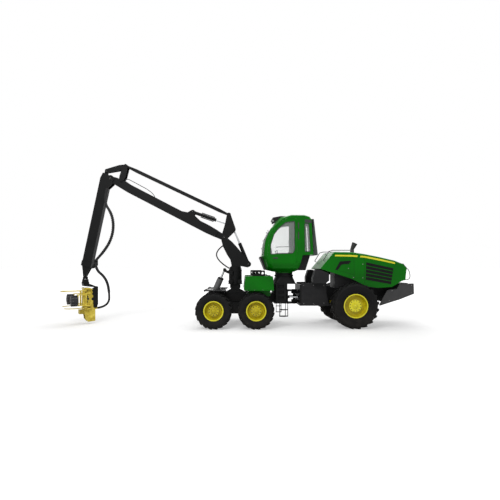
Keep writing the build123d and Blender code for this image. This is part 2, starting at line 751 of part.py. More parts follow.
with BuildPart() as jib:
    half = jib_depth / 2
    slab(along_jib(jib_box_start, jib_box_end, -half, half), -jib_half_width, jib_half_width)
    collar = along_jib(jib_box_end - 194, jib_box_end, -half - jib_collar, half + jib_collar)
    slab(collar, -jib_half_width - jib_collar, jib_half_width + jib_collar)
    hollow = along_jib(jib_box_start + jib_wall, jib_box_end + 5, -jib_inner_half, jib_inner_half)
    slab(hollow, -jib_inner_side, jib_inner_side, Mode.SUBTRACT)
    head_start = jib_box_start + jib_wall
    cheek_outline = [
        on_jib(-210, -120),
        on_jib(-210, 20),
        on_jib(-70, 290),
        on_jib(130, 330),
        on_jib(head_start, half),
        on_jib(head_start, -half),
        on_jib(0, -half),
    ]
    for y_side in (-1, 1):
        plate = side(y_side, jib_half_width - 24, jib_half_width)
        slab(cheek_outline, *plate)
        round_bar(jib_pivot, 135, *plate)
        round_bar(jib_pivot, 62, *side(y_side, jib_half_width, jib_half_width + 14))
    head_outline = [
        on_jib(-180, -115),
        on_jib(-180, 10),
        on_jib(0, 60),
        on_jib(head_start, 60),
        on_jib(head_start, -half),
        on_jib(0, -half),
    ]
    slab(head_outline, -jib_half_width, jib_half_width)
    ear_outline = [on_jib(-298, -90), on_jib(-298, 40), on_jib(-100, 30), on_jib(-100, -120)]
    slab(ear_outline, -40, 40)
    round_bar(jib_top_pin, 65, -40, 40)
    round_bar(jib_top_pin, small_pin_radius + pin_gap, -40, 40, Mode.SUBTRACT)
    round_bar(jib_pivot, pivot_pin_radius, -jib_half_width, jib_half_width)
    # Pads of the extension inside the collar
    pad_start, pad_end = jib_box_end - 70, jib_box_end - 10
    for low, high in ((-jib_inner_half, -jib_inner_half + pad), (jib_inner_half - pad, jib_inner_half)):
        slab(along_jib(pad_start, pad_end, low, high), -jib_inner_side, jib_inner_side)
    for y_side in (-1, 1):
        wall_pad = along_jib(pad_start, pad_end, -jib_inner_half, jib_inner_half)
        slab(wall_pad, *side(y_side, jib_inner_side - pad, jib_inner_side))
save(jib, "jib")

# Extension: slides in the jib on pads, with a fork for the head's link
with BuildPart() as jib_extension:
    half = jib_inner_half - extension_gap
    flank = jib_inner_side - extension_gap
    slab(along_jib(700, 3480, -half, half), -flank, flank)
    slab(along_jib(700, 760, -half - pad, half + pad), -flank - pad, flank + pad)
    inner = half - extension_wall
    slab(along_jib(690, 3400, -inner, inner), -flank + extension_wall, flank - extension_wall, Mode.SUBTRACT)
    fork_outline = [on_jib(3470, -half), on_jib(3794, -60), on_jib(3794, 60), on_jib(3470, half)]
    for y_side in (-1, 1):
        fork = side(y_side, 62, 90)
        slab(fork_outline, *fork)
        round_bar(tip_pin, 60, *fork)
    round_bar(tip_pin, small_pin_radius, -100, 100)
    # Bracket of the hoses beside the jib's collar
    bracket_outline = [
        on_jib(3450, 150),
        on_jib(3450, 225),
        at(-5410, 2330),
        at(-5410, 2470),
        at(-5280, 2470),
        at(-5280, 2260),
        at(-5420, 2150),
        on_jib(3478, 225),
        on_jib(3478, 150),
    ]
    slab(bracket_outline, -130, -85)
save(jib_extension, "jib_extension")

# Link under the jib's tip, with its second pin across the first
side_pin_z = tip_pin[1] - side_pin_drop
side_pin_radius = 30.0
head_x = tip_pin[0]
with BuildPart() as tip_link:
    block(head_x - 48, head_x + 48, -50, 50, side_pin_z, tip_pin[1])
    round_bar(tip_pin, 52, -56, 56)
    round_bar(tip_pin, small_pin_radius + pin_gap, -56, 56, Mode.SUBTRACT)
    bar((head_x - 48, 0, side_pin_z), (head_x + 48, 0, side_pin_z), 50)
    bar((head_x - 92, 0, side_pin_z), (head_x + 92, 0, side_pin_z), side_pin_radius)
save(tip_link, "tip_link")

hanger_top_z = rotator_bottom_z - seat_gap
with BuildPart() as rotator:
    upright(head_x, 0, rotator_radius, rotator_bottom_z, side_pin_z - 60)
    upright(head_x, 0, rotator_radius + 12, rotator_bottom_z, rotator_bottom_z + 30)
    for x_side in (-1, 1):
        x_low, x_high = sorted((head_x + x_side * 56, head_x + x_side * 82))
        block(x_low, x_high, -48, 48, side_pin_z - 80, side_pin_z)
        bar((x_low, 0, side_pin_z), (x_high, 0, side_pin_z), 48)
        bar((x_low - 1, 0, side_pin_z), (x_high + 1, 0, side_pin_z), side_pin_radius + pin_gap, Mode.SUBTRACT)
save(rotator, "rotator")

# Head: modelled straight, then turned about the rotator's axis
head_place = Location((head_x, 0, 0), (0, 0, head_turn))


def save_head(builder, name):
    """Writes a piece of the head, turned to its place under the rotator."""
    save(builder, name, head_place)


hanger_outer_y = hanger_inner_y + hanger_plate
hanger_pin_radius = 32.0
with BuildPart() as head_hanger:
    upright(0, 0, 140, 1560, hanger_top_z)
    yoke_outline = [
        (-100, 1560.2),
        (100, 1560.2),
        (430, 1420),
        (430, 1300),
        (395, 1300),
        (395, 1400),
        (100, 1440),
        (-100, 1470),
    ]
    slab(yoke_outline, -hanger_outer_y, hanger_outer_y)
    side_outline = [(200, 1300), (430, 1440), (430, 760), (380, 620), (280, 620), (250, 760), (250, 1200)]
    for y_side in (-1, 1):
        plate = side(y_side, hanger_inner_y, hanger_outer_y)
        slab(side_outline, *plate, radius=20)
        round_bar(hanger_pivot, 75, *plate)
    block(395, 430, -hanger_outer_y, hanger_outer_y, 780, 1440)
    round_bar(hanger_pivot, hanger_pin_radius, -hanger_outer_y - 10, hanger_outer_y + 10)
save_head(head_hanger, "head_hanger")

frame_side_y = 170.0
saw_guard_plate = 15.0
with BuildPart() as head_frame:
    slab([(150, 560), (150, 1390), (385, 1270), (385, 700), (330, 600)], -140, 140)
    slab([(-95, 1390), (150, 1390), (150, 690), (60, 550), (-95, 550)], -frame_side_y, frame_side_y)
    # Lightening holes through the frame's sides
    for x, z, radius in ((20, 1290, 34), (20, 1060, 52), (20, 860, 40), (250, 1160, 44), (250, 960, 60)):
        round_bar((x, z), radius, -frame_side_y - 1, frame_side_y + 1, Mode.SUBTRACT)
    round_bar(hanger_pivot, 70, -140, 140)
    round_bar(hanger_pivot, hanger_pin_radius + pin_gap, -140, 140, Mode.SUBTRACT)
    for z_low, z_high in ((1350, 1390), (1180, 1215), (700, 735), (580, 620)):
        block(-95, 130, -285, 285, z_low, z_high)
    block(-237, -60, -130, 130, 400, 560)
    slab([(-95, 560), (150, 560), (320, 620), (320, 560), (150, 500), (-95, 500)], -150, 150)
    guard_outline = [(-95, 560), (330, 560), (330, 110), (60, 90), (-20, 200)]
    for y_side in (-1, 1):
        slab(guard_outline, *side(y_side, frame_side_y - saw_guard_plate, frame_side_y), radius=20)
    # Port of the hose at the lower back
    block(320, 400, -150, -70, 560, 640)
    # Pins of the arms
    for y_side in (-1, 1):
        upright(arm_pivot_x, y_side * arm_pivot_y, arm_pin_radius, 590, 1385)
save_head(head_frame, "head_frame")

with BuildPart() as saw_box:
    saw_half_width = frame_side_y - saw_guard_plate - seat_gap
    saw_outline = [
        (70, 240),
        (70, 440),
        (120, 499.7),
        (240, 499.7),
        (290, 440),
        (290, 240),
        (240, 180),
        (120, 180),
    ]
    slab(saw_outline, -saw_half_width, saw_half_width)
save_head(saw_box, "saw_box")


def knife(y_side, z_low, thickness, reach):
    """A curved knife arm about its upright pin, with its hook toward the stem."""
    with BuildSketch(Plane.XY.offset(z_low)) as outline:
        with BuildLine():
            outer = Spline(
                (arm_pivot_x + 20, y_side * (arm_pivot_y + 62)),
                (-260, y_side * 455),
                (-520, y_side * 480),
                (-reach, y_side * 250),
            )
            inner = Spline(
                (-reach + 10, y_side * 225),
                (-520, y_side * 385),
                (-270, y_side * 350),
                (arm_pivot_x - 40, y_side * (arm_pivot_y - 40)),
            )
            Line(outer @ 1, inner @ 0)
            Line(inner @ 1, outer @ 0)
        make_face()
        with Locations((arm_pivot_x, y_side * arm_pivot_y)):
            Circle(62)
    extrude(outline.sketch, amount=thickness)


knife_rows = (
    # side, height of the upper knife, height of the lower knife
    (-1, 1290.0, 640.0),
    (1, 1240.0, 672.0),
)
feed_arm_heights = (740.0, 1140.0)
for y_side, upper_z, lower_z in knife_rows:
    shaft_end = roller_x - roller_width / 2 + 20
    with BuildPart() as arms:
        knife(y_side, upper_z, 32, 850)
        knife(y_side, lower_z, 24, 780)
        # Upright sleeve that joins the knives and the feed arm
        upright(arm_pivot_x, y_side * arm_pivot_y, 55, 740, 1175)
        for z_low in feed_arm_heights:
            feed_arm = side(y_side, arm_pivot_y + 30, roller_y + 30)
            block(-355, arm_pivot_x - 20, *feed_arm, z_low, z_low + 25)
        block(-355, -325, *side(y_side, roller_y - 60, roller_y + 60), *feed_arm_heights)
        shaft_y = y_side * roller_y
        bar((-340, shaft_y, roller_z), (shaft_end, shaft_y, roller_z), roller_shaft_radius)
        upright(arm_pivot_x, y_side * arm_pivot_y, arm_pin_radius + pin_gap, 500, 1400, Mode.SUBTRACT)
        upright(-120, y_side * 330, 28, lower_z + 20, upper_z + 5)
    save_head(arms, named("arms", y_side))
    with BuildPart() as roller:
        roller_low, roller_high = roller_x - roller_width / 2, roller_x + roller_width / 2
        axle_y = y_side * roller_y
        bar((roller_high, axle_y, roller_z), (roller_low, axle_y, roller_z), roller_radius - 20)
        for step in range(roller_rib_count):
            turn = 360 / roller_rib_count * step
            rib_y = axle_y + (roller_radius - 22) * cos(radians(turn))
            rib_z = roller_z + (roller_radius - 22) * sin(radians(turn))
            with Locations(Location((roller_x, rib_y, rib_z), (turn, 0, 0))):
                Box(roller_width, 40, 22)
        bore_end = shaft_end - seat_gap
        bore_radius = roller_shaft_radius + pin_gap
        bar((roller_high + 5, axle_y, roller_z), (bore_end, axle_y, roller_z), bore_radius, Mode.SUBTRACT)
    save_head(roller, named("feed_roller", y_side))


def lofted_form(rows, stations, inset):
    """A body whose side-view outline changes from its middle to its sides, moved in by an inset."""

    def outline(share):
        """The outline at a share of the way from the middle to the side."""
        points = [at(x + (side_x - x) * share, z + (side_z - z) * share) for x, z, side_x, side_z in rows]
        return grown(points, -inset)

    with BuildPart() as form:
        flat_y = stations[0][0]
        slab(outline(0), -flat_y, flat_y)
        for y_side in (-1, 1):
            for (near_y, near_share), (far_y, far_share) in zip(stations, stations[1:]):
                faces = []
                for y, share in ((near_y, near_share), (far_y, far_share)):
                    place = y - inset if share else y
                    with BuildSketch(Plane.XZ.offset(-y_side * place)) as section:
                        with BuildLine():
                            Polyline(*outline(share), close=True)
                        make_face()
                    faces.append(section.sketch)
                loft(sections=faces, ruled=True)
    return form.part


# Cab: a hollow shell with a bowed windscreen, a crowned roof and a bowl for its lower body
cab_rows = (
    # x and z in the middle, then x and z at the side, clockwise from the front sill
    (1010, 2592, 1125, 2600),
    (1032, 2930, 1138, 2900),
    (1085, 3240, 1206, 3247),
    (1225, 3560, 1400, 3640),
    (1560, 3930, 1640, 3890),
    (1700, 4060, 1800, 4000),
    (2084, 4147, 2084, 4088),
    (2560, 4147, 2540, 4080),
    (2760, 4090, 2730, 4020),
    (2830, 3990, 2800, 3930),
    (2900, 2640, 2870, 2642),
    (2500, 2640, 2480, 2642),
    (2333, 2072, 2400, 2330),
    (2201, 2017, 2330, 2300),
    (1447, 2017, 1330, 2300),
    (1190, 2080, 1250, 2340),
)
cab_stations = ((420.0, 0.0), (660.0, 0.45), (cab_half_width, 1.0))
cab_floor_z = 2017.0
door_outline = [
    at(1290, 2335),
    at(1172, 2600),
    at(1190, 2880),
    at(1252, 3225),
    at(1440, 3605),
    at(1668, 3845),
    at(1830, 3950),
    at(2262, 3985),
    at(2262, 2335),
]
window_outline = [
    at(1290, 2660),
    at(1305, 3020),
    at(1418, 3378),
    at(1590, 3620),
    at(1850, 3830),
    at(2190, 3880),
    at(2190, 2830),
    at(2120, 2700),
]
rear_side_outline = [at(2560, 2760), at(2545, 3800), at(2700, 3790), at(2760, 2760)]
screen_outline = [
    at(850, 2660),
    at(850, 3300),
    at(1100, 3700),
    at(1350, 3960),
    at(1560, 3770),
    at(1430, 3550),
    at(1300, 3260),
    at(1240, 2950),
    at(1220, 2660),
]
screen_half_width = 655.0
rear_screen = (front_axle_x + 2760, front_axle_x + 2960, 2800.0, 3800.0)
rear_screen_half_width = 520.0
corner_radius = 60.0
side_wall = (cab_half_width - cab_wall - 5, cab_half_width + 5)
with BuildPart() as cab_shell:
    add(lofted_form(cab_rows, cab_stations, 0))
    add(lofted_form(cab_rows, cab_stations, cab_wall), mode=Mode.SUBTRACT)
    door_hole = grown(door_outline, door_gap)
    slab(door_hole, *side(-1, *side_wall), mode=Mode.SUBTRACT, radius=corner_radius + door_gap)
    slab(window_outline, *side(1, *side_wall), mode=Mode.SUBTRACT, radius=corner_radius)
    for y_side in (-1, 1):
        slab(rear_side_outline, *side(y_side, *side_wall), mode=Mode.SUBTRACT, radius=30)
    slab(screen_outline, -screen_half_width, screen_half_width, Mode.SUBTRACT)
    x_low, x_high, z_low, z_high = rear_screen
    block(x_low, x_high, -rear_screen_half_width, rear_screen_half_width, z_low, z_high, Mode.SUBTRACT)
    # Ring that seats on the pedestal
    upright(cab_axis_x, 0, 340, cab_ring_z + seat_gap, cab_floor_z + 10)
    # Hinge knuckles and pins of the door
    hinge_x, hinge_y = door_hinge
    for z_low in door_hinge_heights:
        block(hinge_x, hinge_x + 65, hinge_y - hinge_radius, -cab_half_width + 5, z_low, z_low + 40)
        upright(hinge_x, hinge_y, hinge_radius, z_low, z_low + 40)
        upright(hinge_x, hinge_y, 8, z_low, z_low + 80)
save(cab_shell, "cab_shell")

glass_low_y = cab_half_width - glass_inset - glass_thickness
with BuildPart() as cab_door:
    slab(door_outline, -cab_half_width, -cab_half_width + door_thickness, radius=corner_radius)
    slab(window_outline, *side(-1, *side_wall), mode=Mode.SUBTRACT, radius=corner_radius)
    for z_low in door_hinge_heights:
        knuckle_low, knuckle_high = z_low + 40 + pin_gap, z_low + 80
        knuckle = (hinge_y - hinge_radius, hinge_y + hinge_radius)
        block(hinge_x - 70, hinge_x, *knuckle, knuckle_low, knuckle_high)
        block(hinge_x - 70, hinge_x - 40, hinge_y, -cab_half_width + 5, knuckle_low, knuckle_high)
        upright(hinge_x, hinge_y, hinge_radius, knuckle_low, knuckle_high)
        upright(hinge_x, hinge_y, 8 + pin_gap, z_low + 40, z_low + 81, Mode.SUBTRACT)
    # Grab rail inside the window
    block(front_axle_x + 1300, front_axle_x + 2170, *side(-1, glass_low_y - 32, glass_low_y - 8), 2640, 2664)
save(cab_door, "cab_door")

with BuildPart() as door_glass:
    pane = side(-1, glass_low_y, glass_low_y + glass_thickness)
    slab(grown(window_outline, -seat_gap), *pane, radius=corner_radius - seat_gap)
save(door_glass, "door_glass")

with BuildPart() as cab_glass:
    add(lofted_form(cab_rows, cab_stations, glass_inset))
    add(lofted_form(cab_rows, cab_stations, glass_inset + glass_thickness), mode=Mode.SUBTRACT)
    with BuildPart(mode=Mode.INTERSECT):
        screen_y = screen_half_width - seat_gap
        slab(grown(screen_outline, -seat_gap), -screen_y, screen_y)
        rear_y = rear_screen_half_width - seat_gap
        x_low, x_high, z_low, z_high = rear_screen
        block(x_low, x_high, -rear_y, rear_y, z_low + seat_gap, z_high - seat_gap)
    slab(
        grown(window_outline, -seat_gap),
        glass_low_y,
        glass_low_y + glass_thickness,
        radius=corner_radius - seat_gap,
    )
    for y_side in (-1, 1):
        pane = side(y_side, glass_low_y, glass_low_y + glass_thickness)
        slab(grown(rear_side_outline, -seat_gap), *pane, radius=30 - seat_gap)
save(cab_glass, "cab_glass")

with BuildPart() as cab_interior:
    floor_z = cab_floor_z + cab_wall + seat_gap
    block(front_axle_x + 1620, front_axle_x + 2080, -230, 230, floor_z, floor_z + 345)
    cushion_outline = [at(1600, 2400), at(1600, 2500), at(2060, 2530), at(2140, 2530), at(2160, 2400)]
    slab(cushion_outline, -260, 260, radius=25)
    slab([at(2050, 2500), at(2150, 3250), at(2210, 3250), at(2170, 2500)], -250, 250, radius=25)
    for y_side in (-1, 1):
        block(front_axle_x + 1540, front_axle_x + 2080, *side(y_side, 252, 380), 2640, 2720)
        block(front_axle_x + 1900, front_axle_x + 2100, *side(y_side, 225, 300), 2480, 2660)
        upright(front_axle_x + 1590, y_side * 320, 22, 2715, 2830)
save(cab_interior, "cab_interior")

with BuildPart() as cab_trim:
    # Front apron, underbody behind the bowl, guard behind the rear wall and visor over the windscreen
    slab([at(928, 2548), at(938, 2590), at(1010.4, 2590), at(1189.7, 2080), at(1122, 2086)], -420, 420)
    slab([at(2500.4, 2639.7), at(2816, 2639.7), at(2640, 2072), at(2333.5, 2072)], -419, 419)
    slab([at(2900.3, 2640), at(3075, 2640), at(2925, 3980), at(2831.3, 3980)], -560, 560)
    slab([at(2840, 2800), at(2930, 2800), at(2872, 3850), at(2780, 3850)], -640, 640, Mode.SUBTRACT)
    visor_outline = [
        at(1405, 3985),
        at(1415, 4055),
        at(1700, 4108),
        at(1900, 4108),
        at(1699.8, 4060.6),
        at(1559.6, 3930.4),
    ]
    slab(visor_outline, -420, 420)
save(cab_trim, "cab_trim")

# Rear frame: hinged behind the front frame, with the rear axle under it
with BuildPart() as rear_frame:
    for z_low in (870, 1180):
        with BuildSketch(Plane.XY.offset(z_low)) as lug:
            with BuildLine():
                Polyline(
                    (steer_x, -110),
                    (front_axle_x + 2410, -240),
                    (front_axle_x + 2410, 240),
                    (steer_x, 110),
                    close=True,
                )
            make_face()
            with Locations((steer_x, 0)):
                Circle(110)
        extrude(lug.sketch, amount=80)
    block(front_axle_x + 2400, front_axle_x + 2460, -rear_plate_half_width, rear_plate_half_width, 760, 1545)
    rear_outline = [
        at(2455, 870),
        at(2455, 1500),
        at(2700, 1500),
        at(3300, 1560),
        at(3700, 1400),
        at(6150, 1400),
        at(6150, 960),
        at(2900, 960),
    ]
    slab(rear_outline, -400, 400)
    slab([at(3600, 1000), at(3600, 1300), at(6100, 1300), at(6100, 1000)], -330, 330, Mode.SUBTRACT)
    # Rear bumper
    bumper_outline = [
        at(5664, 1290),
        at(5664, 1560),
        at(6500, 1600),
        at(6500, 1223),
        at(5700, 880),
        at(5500, 880),
    ]
    slab(bumper_outline, -400, 400, radius=40)
    upright(steer_x, 0, 50 + pin_gap, 860, 1270, Mode.SUBTRACT)
    with Locations((rear_axle_x, 0, rear_wheel_radius)):
        Sphere(255, mode=Mode.SUBTRACT)
    # Ears and pin of the hood's hinge
    for y_side in (-1, 1):
        for inner, outer in ((270, 299.5), (360.5, 390)):
            ear = side(y_side, inner, outer)
            slab([at(6060, 1560), at(6075, 1640), at(6125, 1640), at(6140, 1560)], *ear)
            round_bar(hood_pivot, 25, *ear)
        round_bar(hood_pivot, 12, *side(y_side, 270, 390))
        # Ears of the steering rods, with a recess between them
        ear = side(y_side, steer_ear_y - 45, steer_ear_y + 45)
        for z_low in (steer_z - 58, steer_z + 34):
            block(steer_ear_x, front_axle_x + 2410, *ear, z_low, z_low + 24)
            upright(steer_ear_x, y_side * steer_ear_y, 45, z_low, z_low + 24)
        recess = side(y_side, 150, 480)
        block(front_axle_x + 2330, front_axle_x + 2485, *recess, steer_z - 34, steer_z + 34, Mode.SUBTRACT)
save(rear_frame, "rear_frame")

with BuildPart() as rear_axle:
    rear_hub = (rear_axle_x, rear_wheel_radius)
    round_bar(rear_hub, 125, -620, 620)
    with Locations((rear_axle_x, 0, rear_wheel_radius)):
        Sphere(250)
    block(rear_axle_x - 200, rear_axle_x + 200, -320, 320, rear_wheel_radius, 960 - seat_gap)
    for y_side in (-1, 1):
        wheel_stub(rear_hub, 600, rear_track, rear_wheel_width, y_side)
save(rear_axle, "rear_axle")

with BuildPart() as side_plates:
    side_outline = [at(2460.3, 760), at(2460.3, 1600), at(3380, 1620), at(3380, 1250), at(3480, 760)]
    fender_outline = [
        at(2831, 1600),
        at(2831, 1800),
        at(2926, 2090),
        at(3100, 2095),
        at(3420, 1960),
        at(3420, 1700),
        at(3300, 1600),
    ]
    lower_outline = [
        at(5535, 1347),
        at(5880, 1383),
        at(5990, 1583),
        at(6490, 1600),
        at(6500, 1223),
        at(5989, 1020),
        at(5215, 775),
    ]
    for y_side in (-1, 1):
        slab(side_outline, *side(y_side, 560, rear_plate_half_width))
        block(front_axle_x + 2600, front_axle_x + 3200, *side(y_side, 400 + seat_gap, 580), 1000, 1490)
        # Fender in front of the rear wheel
        slab(fender_outline, *side(y_side, 560, 860), radius=25)
        # Lower plates behind the rear wheel
        slab(lower_outline, *side(y_side, 820, 860), radius=25)
        block(front_axle_x + 5700, front_axle_x + 6300, *side(y_side, 400 + seat_gap, 840), 1200, 1360)
save(side_plates, "side_plates")

# Hood: a hollow shell that tips back on its rear hinge
hood_rows = (
    # x and z in the middle, then x and z at the side, clockwise from the front of its lower edge
    (3103, 2134, 3103, 2134),
    (3611, 2751, 3575, 2690),
    (4247, 2744, 4247, 2684),
    (4719, 2672, 4719, 2612),
    (5263, 2563, 5263, 2503),
    (5808, 2436, 5808, 2376),
    (6134, 2309, 6104, 2254),
    (6261, 2163, 6221, 2140),
    (6200, 1720, 6190, 1725),
    (6062, 1692, 6062, 1692),
    (5699, 1474, 5699, 1474),
    (5190, 1437, 5190, 1437),
    (4791, 1492, 4791, 1492),
    (4247, 1764, 4247, 1764),
)
hood_stations = ((775.0, 0.0), (835.0, 0.35), (hood_half_width, 1.0))
hood_mouth_outline = [
    at(3060, 2060),
    at(3150, 2170),
    at(4000, 1945),
    at(4260, 1815),
    at(4800, 1545),
    at(5190, 1490),
    at(5690, 1525),
    at(6020, 1720),
    at(6060, 1620),
    at(5710, 1400),
    at(5190, 1360),
    at(4760, 1420),
    at(4200, 1690),
    at(3960, 1810),
]
louvre_rows = (
    # x at the top, height of the top and of the bottom
    (4800, 2350, 1800),
    (4985, 2310, 1770),
    (5170, 2270, 1745),
    (5355, 2230, 1725),
    (5540, 2190, 1725),
)
louvre_width = 120.0
louvre_lean = 0.17


def louvre(x, z_high, z_low):
    """A louvre's outline in the side view, leaning back toward its foot."""
    foot_x = x + (z_high - z_low) * louvre_lean
    top_drop = louvre_width * louvre_lean
    return [
        at(x, z_high),
        at(x + louvre_width, z_high - top_drop),
        at(foot_x + louvre_width, z_low - top_drop),
        at(foot_x, z_low),
    ]


louvre_side = (hood_half_width - hood_wall - 5, hood_half_width + 5)
with BuildPart() as hood:
    add(lofted_form(hood_rows, hood_stations, 0))
    add(lofted_form(hood_rows, hood_stations, hood_wall), mode=Mode.SUBTRACT)
    mouth_y = hood_half_width - hood_wall
    slab(hood_mouth_outline, -mouth_y, mouth_y, Mode.SUBTRACT)
    for y_side in (-1, 1):
        for x, z_high, z_low in louvre_rows:
            slab(louvre(x, z_high, z_low), *side(y_side, *louvre_side), mode=Mode.SUBTRACT, radius=20)
        hinge = side(y_side, 300, 360)
        round_bar(hood_pivot, 25, *hinge)
        slab([at(6082, 1640), at(6078, 1712), at(6130, 1722), at(6118, 1640)], *hinge)
        round_bar(hood_pivot, 12 + pin_gap, *hinge, mode=Mode.SUBTRACT)
save(hood, "hood")

with BuildPart() as hood_vents:
    # Rear grille and the exhaust stack
    grille_outline = [
        at(6100, 2310),
        at(6230, 2165),
        at(6170, 1722),
        at(6245, 1722),
        at(6315, 2165),
        at(6180, 2325),
    ]
    slab(grille_outline, -700, 700)
    stack = [(front_axle_x + 4515, 0, 2650), (front_axle_x + 4515, 0, 2900), (front_axle_x + 4600, 0, 3090)]
    bar(stack[0], stack[1], 60)
    bar(stack[1], stack[2], 60)
    with Locations(stack[1]):
        Sphere(60)
    # Slats in the louvres
    for y_side in (-1, 1):
        slat = side(y_side, hood_half_width - hood_wall, hood_half_width - hood_wall + 5)
        for x, z_high, z_low in louvre_rows:
            slab(grown(louvre(x, z_high, z_low), -seat_gap), *slat, radius=20 - seat_gap)
    with BuildPart(mode=Mode.SUBTRACT):
        slab(grown([at(x, z) for x, z, side_x, side_z in hood_rows], seat_gap), -700, 700)
save(hood_vents, "hood_vents")

with BuildPart() as engine:
    block(front_axle_x + 3750, front_axle_x + 5600, -330, 330, 1400 + seat_gap, 2350)
save(engine, "engine")

handrail_radius = 14.0
with BuildPart() as handrails:
    for y_side in (-1, 1):
        y = y_side * 760
        rail_points = (
            # x and z of each corner
            (3290, 2400),
            (3232, 2440),
            (3427, 2765),
            (3573, 2809),
            (4266, 2809),
            (4290, 2735),
        )
        rail = [(front_axle_x + x, y, z) for x, z in rail_points]
        for start, end in zip(rail, rail[1:]):
            bar(start, end, handrail_radius)
        for point in rail[1:-1]:
            with Locations(point):
                Sphere(handrail_radius)
    add(lofted_form(hood_rows, hood_stations, -seat_gap), mode=Mode.SUBTRACT)
save(handrails, "handrails")

# Steering cylinders beside the steering pin
steer_reach = hypot(steer_ear_x - steer_anchor_x, steer_ear_y - steer_y)
steer_rod_radius = 26.0


def steer_point(y_side, along):
    """A point on a steering cylinder's axis, from its anchor pin."""
    share = along / steer_reach
    x = steer_anchor_x + (steer_ear_x - steer_anchor_x) * share
    return (x, y_side * (steer_y + (steer_ear_y - steer_y) * share), steer_z)


steer_barrel_end = 505.0
for y_side in (-1, 1):
    with BuildPart() as barrel:
        bar(steer_point(y_side, 0), steer_point(y_side, 70), 32)
        bar(steer_point(y_side, 66), steer_point(y_side, steer_barrel_end), 48)
        upright(steer_anchor_x, y_side * steer_y, 48, steer_z - 35.5, steer_z + 35.5)
        bore_radius = steer_rod_radius + pin_gap
        bar(steer_point(y_side, 58), steer_point(y_side, steer_barrel_end + 1), bore_radius, Mode.SUBTRACT)
        pin_radius = steer_pin_radius + pin_gap
        upright(steer_anchor_x, y_side * steer_y, pin_radius, steer_z - 60, steer_z + 60, Mode.SUBTRACT)
    save(barrel, named("steering_barrel", y_side))
    with BuildPart() as rod:
        bar(steer_point(y_side, 274), steer_point(y_side, steer_reach), steer_rod_radius)
        upright(steer_ear_x, y_side * steer_ear_y, 42, steer_z - 33.5, steer_z + 33.5)
    save(rod, named("steering_rod", y_side))


# Hoses: each a bent tube on its own path
def hose(name, radius, path, limpness=5):
    """A hose along a path of straight runs, with each corner rounded as far as its runs allow."""
    radii = []
    for a, b, c in zip(path, path[1:], path[2:]):
        first, second = Vector(*b) - Vector(*a), Vector(*c) - Vector(*b)
        half_turn = radians(first.get_angle(second)) / 2
        radii.append(0.45 * min(first.length, second.length) / tan(half_turn))
    print(name, "bend radii", [round(r) for r in radii], "least wanted", round(limpness * 2 * radius))
    with BuildPart() as tube:
        with BuildLine() as line:
            FilletPolyline(*path, radius=radii)
        start = Vector(*path[0])
        with BuildSketch(Plane(origin=start, z_dir=Vector(*path[1]) - start)):
            Circle(radius)
        sweep(path=line.line)
    save(tube, name)


hose_rows = (
    # name, radius, points as distance back from the front axle, sideways place and height
    (
        "jib_hose",
        48.0,
        (
            (-4890, -178.3, 5200),
            (-5040, -178.3, 4700),
            (-4690, -178.3, 4200),
            (-4640, -178.3, 3560),
            (-4900, -178.3, 2900),
            (-5325, -178.3, 2455),
        ),
    ),
    ("column_hose", 24.0, ((-430, -164.3, 3040), (-780, -180, 2800), (-620, -190, 2380), (-233, -107, 2150))),
    (
        "tip_hose",
        40.0,
        (
            (-5330, -170.3, 2377),
            (-5345, -170.3, 2110),
            (-4990, -110, 1800),
            (-4905, 60, 1350),
            (-4945, 188, 665),
            (-5392.1, 144.1, 600),
        ),
    ),
)
for name, radius, points in hose_rows:
    hose(name, radius, [(front_axle_x + x, y, z) for x, y, z in points])
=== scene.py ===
"""Looks of the forestry harvester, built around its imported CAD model. Metres, +Z up, front to -X."""
import math

import bmesh
import bpy
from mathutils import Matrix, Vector


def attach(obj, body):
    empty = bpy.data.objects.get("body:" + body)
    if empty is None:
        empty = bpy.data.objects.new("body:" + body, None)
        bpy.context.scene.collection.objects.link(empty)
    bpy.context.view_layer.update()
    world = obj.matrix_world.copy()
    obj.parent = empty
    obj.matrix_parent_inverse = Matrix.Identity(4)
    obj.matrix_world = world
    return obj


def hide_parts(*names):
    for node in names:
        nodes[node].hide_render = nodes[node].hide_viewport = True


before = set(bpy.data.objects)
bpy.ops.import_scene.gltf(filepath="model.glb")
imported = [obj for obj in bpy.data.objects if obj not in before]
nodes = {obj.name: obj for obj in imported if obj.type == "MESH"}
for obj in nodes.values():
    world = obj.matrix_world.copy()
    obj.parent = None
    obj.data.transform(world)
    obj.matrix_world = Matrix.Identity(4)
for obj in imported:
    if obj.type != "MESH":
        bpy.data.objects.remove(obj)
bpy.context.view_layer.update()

FRONT_AXLE_X = 0.059
SIDES = (-1, 1)
NAMED_SIDES = ((-1, "left"), (1, "right"))


def at(x, y, z):
    """A point given in millimetres back from the front axle, sideways and up."""
    return (FRONT_AXLE_X + x / 1000, y / 1000, z / 1000)


# Materials
def new_material(name):
    """A node material, its node tree and its shader."""
    material = bpy.data.materials.new(name)
    material.use_nodes = True
    tree = material.node_tree
    shader = tree.nodes["Principled BSDF"]
    return material, tree, shader


def place_noise(tree, scale, detail=4.0, stretch=(1, 1, 1)):
    """A noise texture that is fixed to the object's own space."""
    place = tree.nodes.new("ShaderNodeTexCoord")
    mapping = tree.nodes.new("ShaderNodeMapping")
    mapping.inputs["Scale"].default_value = stretch
    noise = tree.nodes.new("ShaderNodeTexNoise")
    noise.inputs["Scale"].default_value = scale
    noise.inputs["Detail"].default_value = detail
    tree.links.new(place.outputs["Object"], mapping.inputs["Vector"])
    tree.links.new(mapping.outputs["Vector"], noise.inputs["Vector"])
    return noise


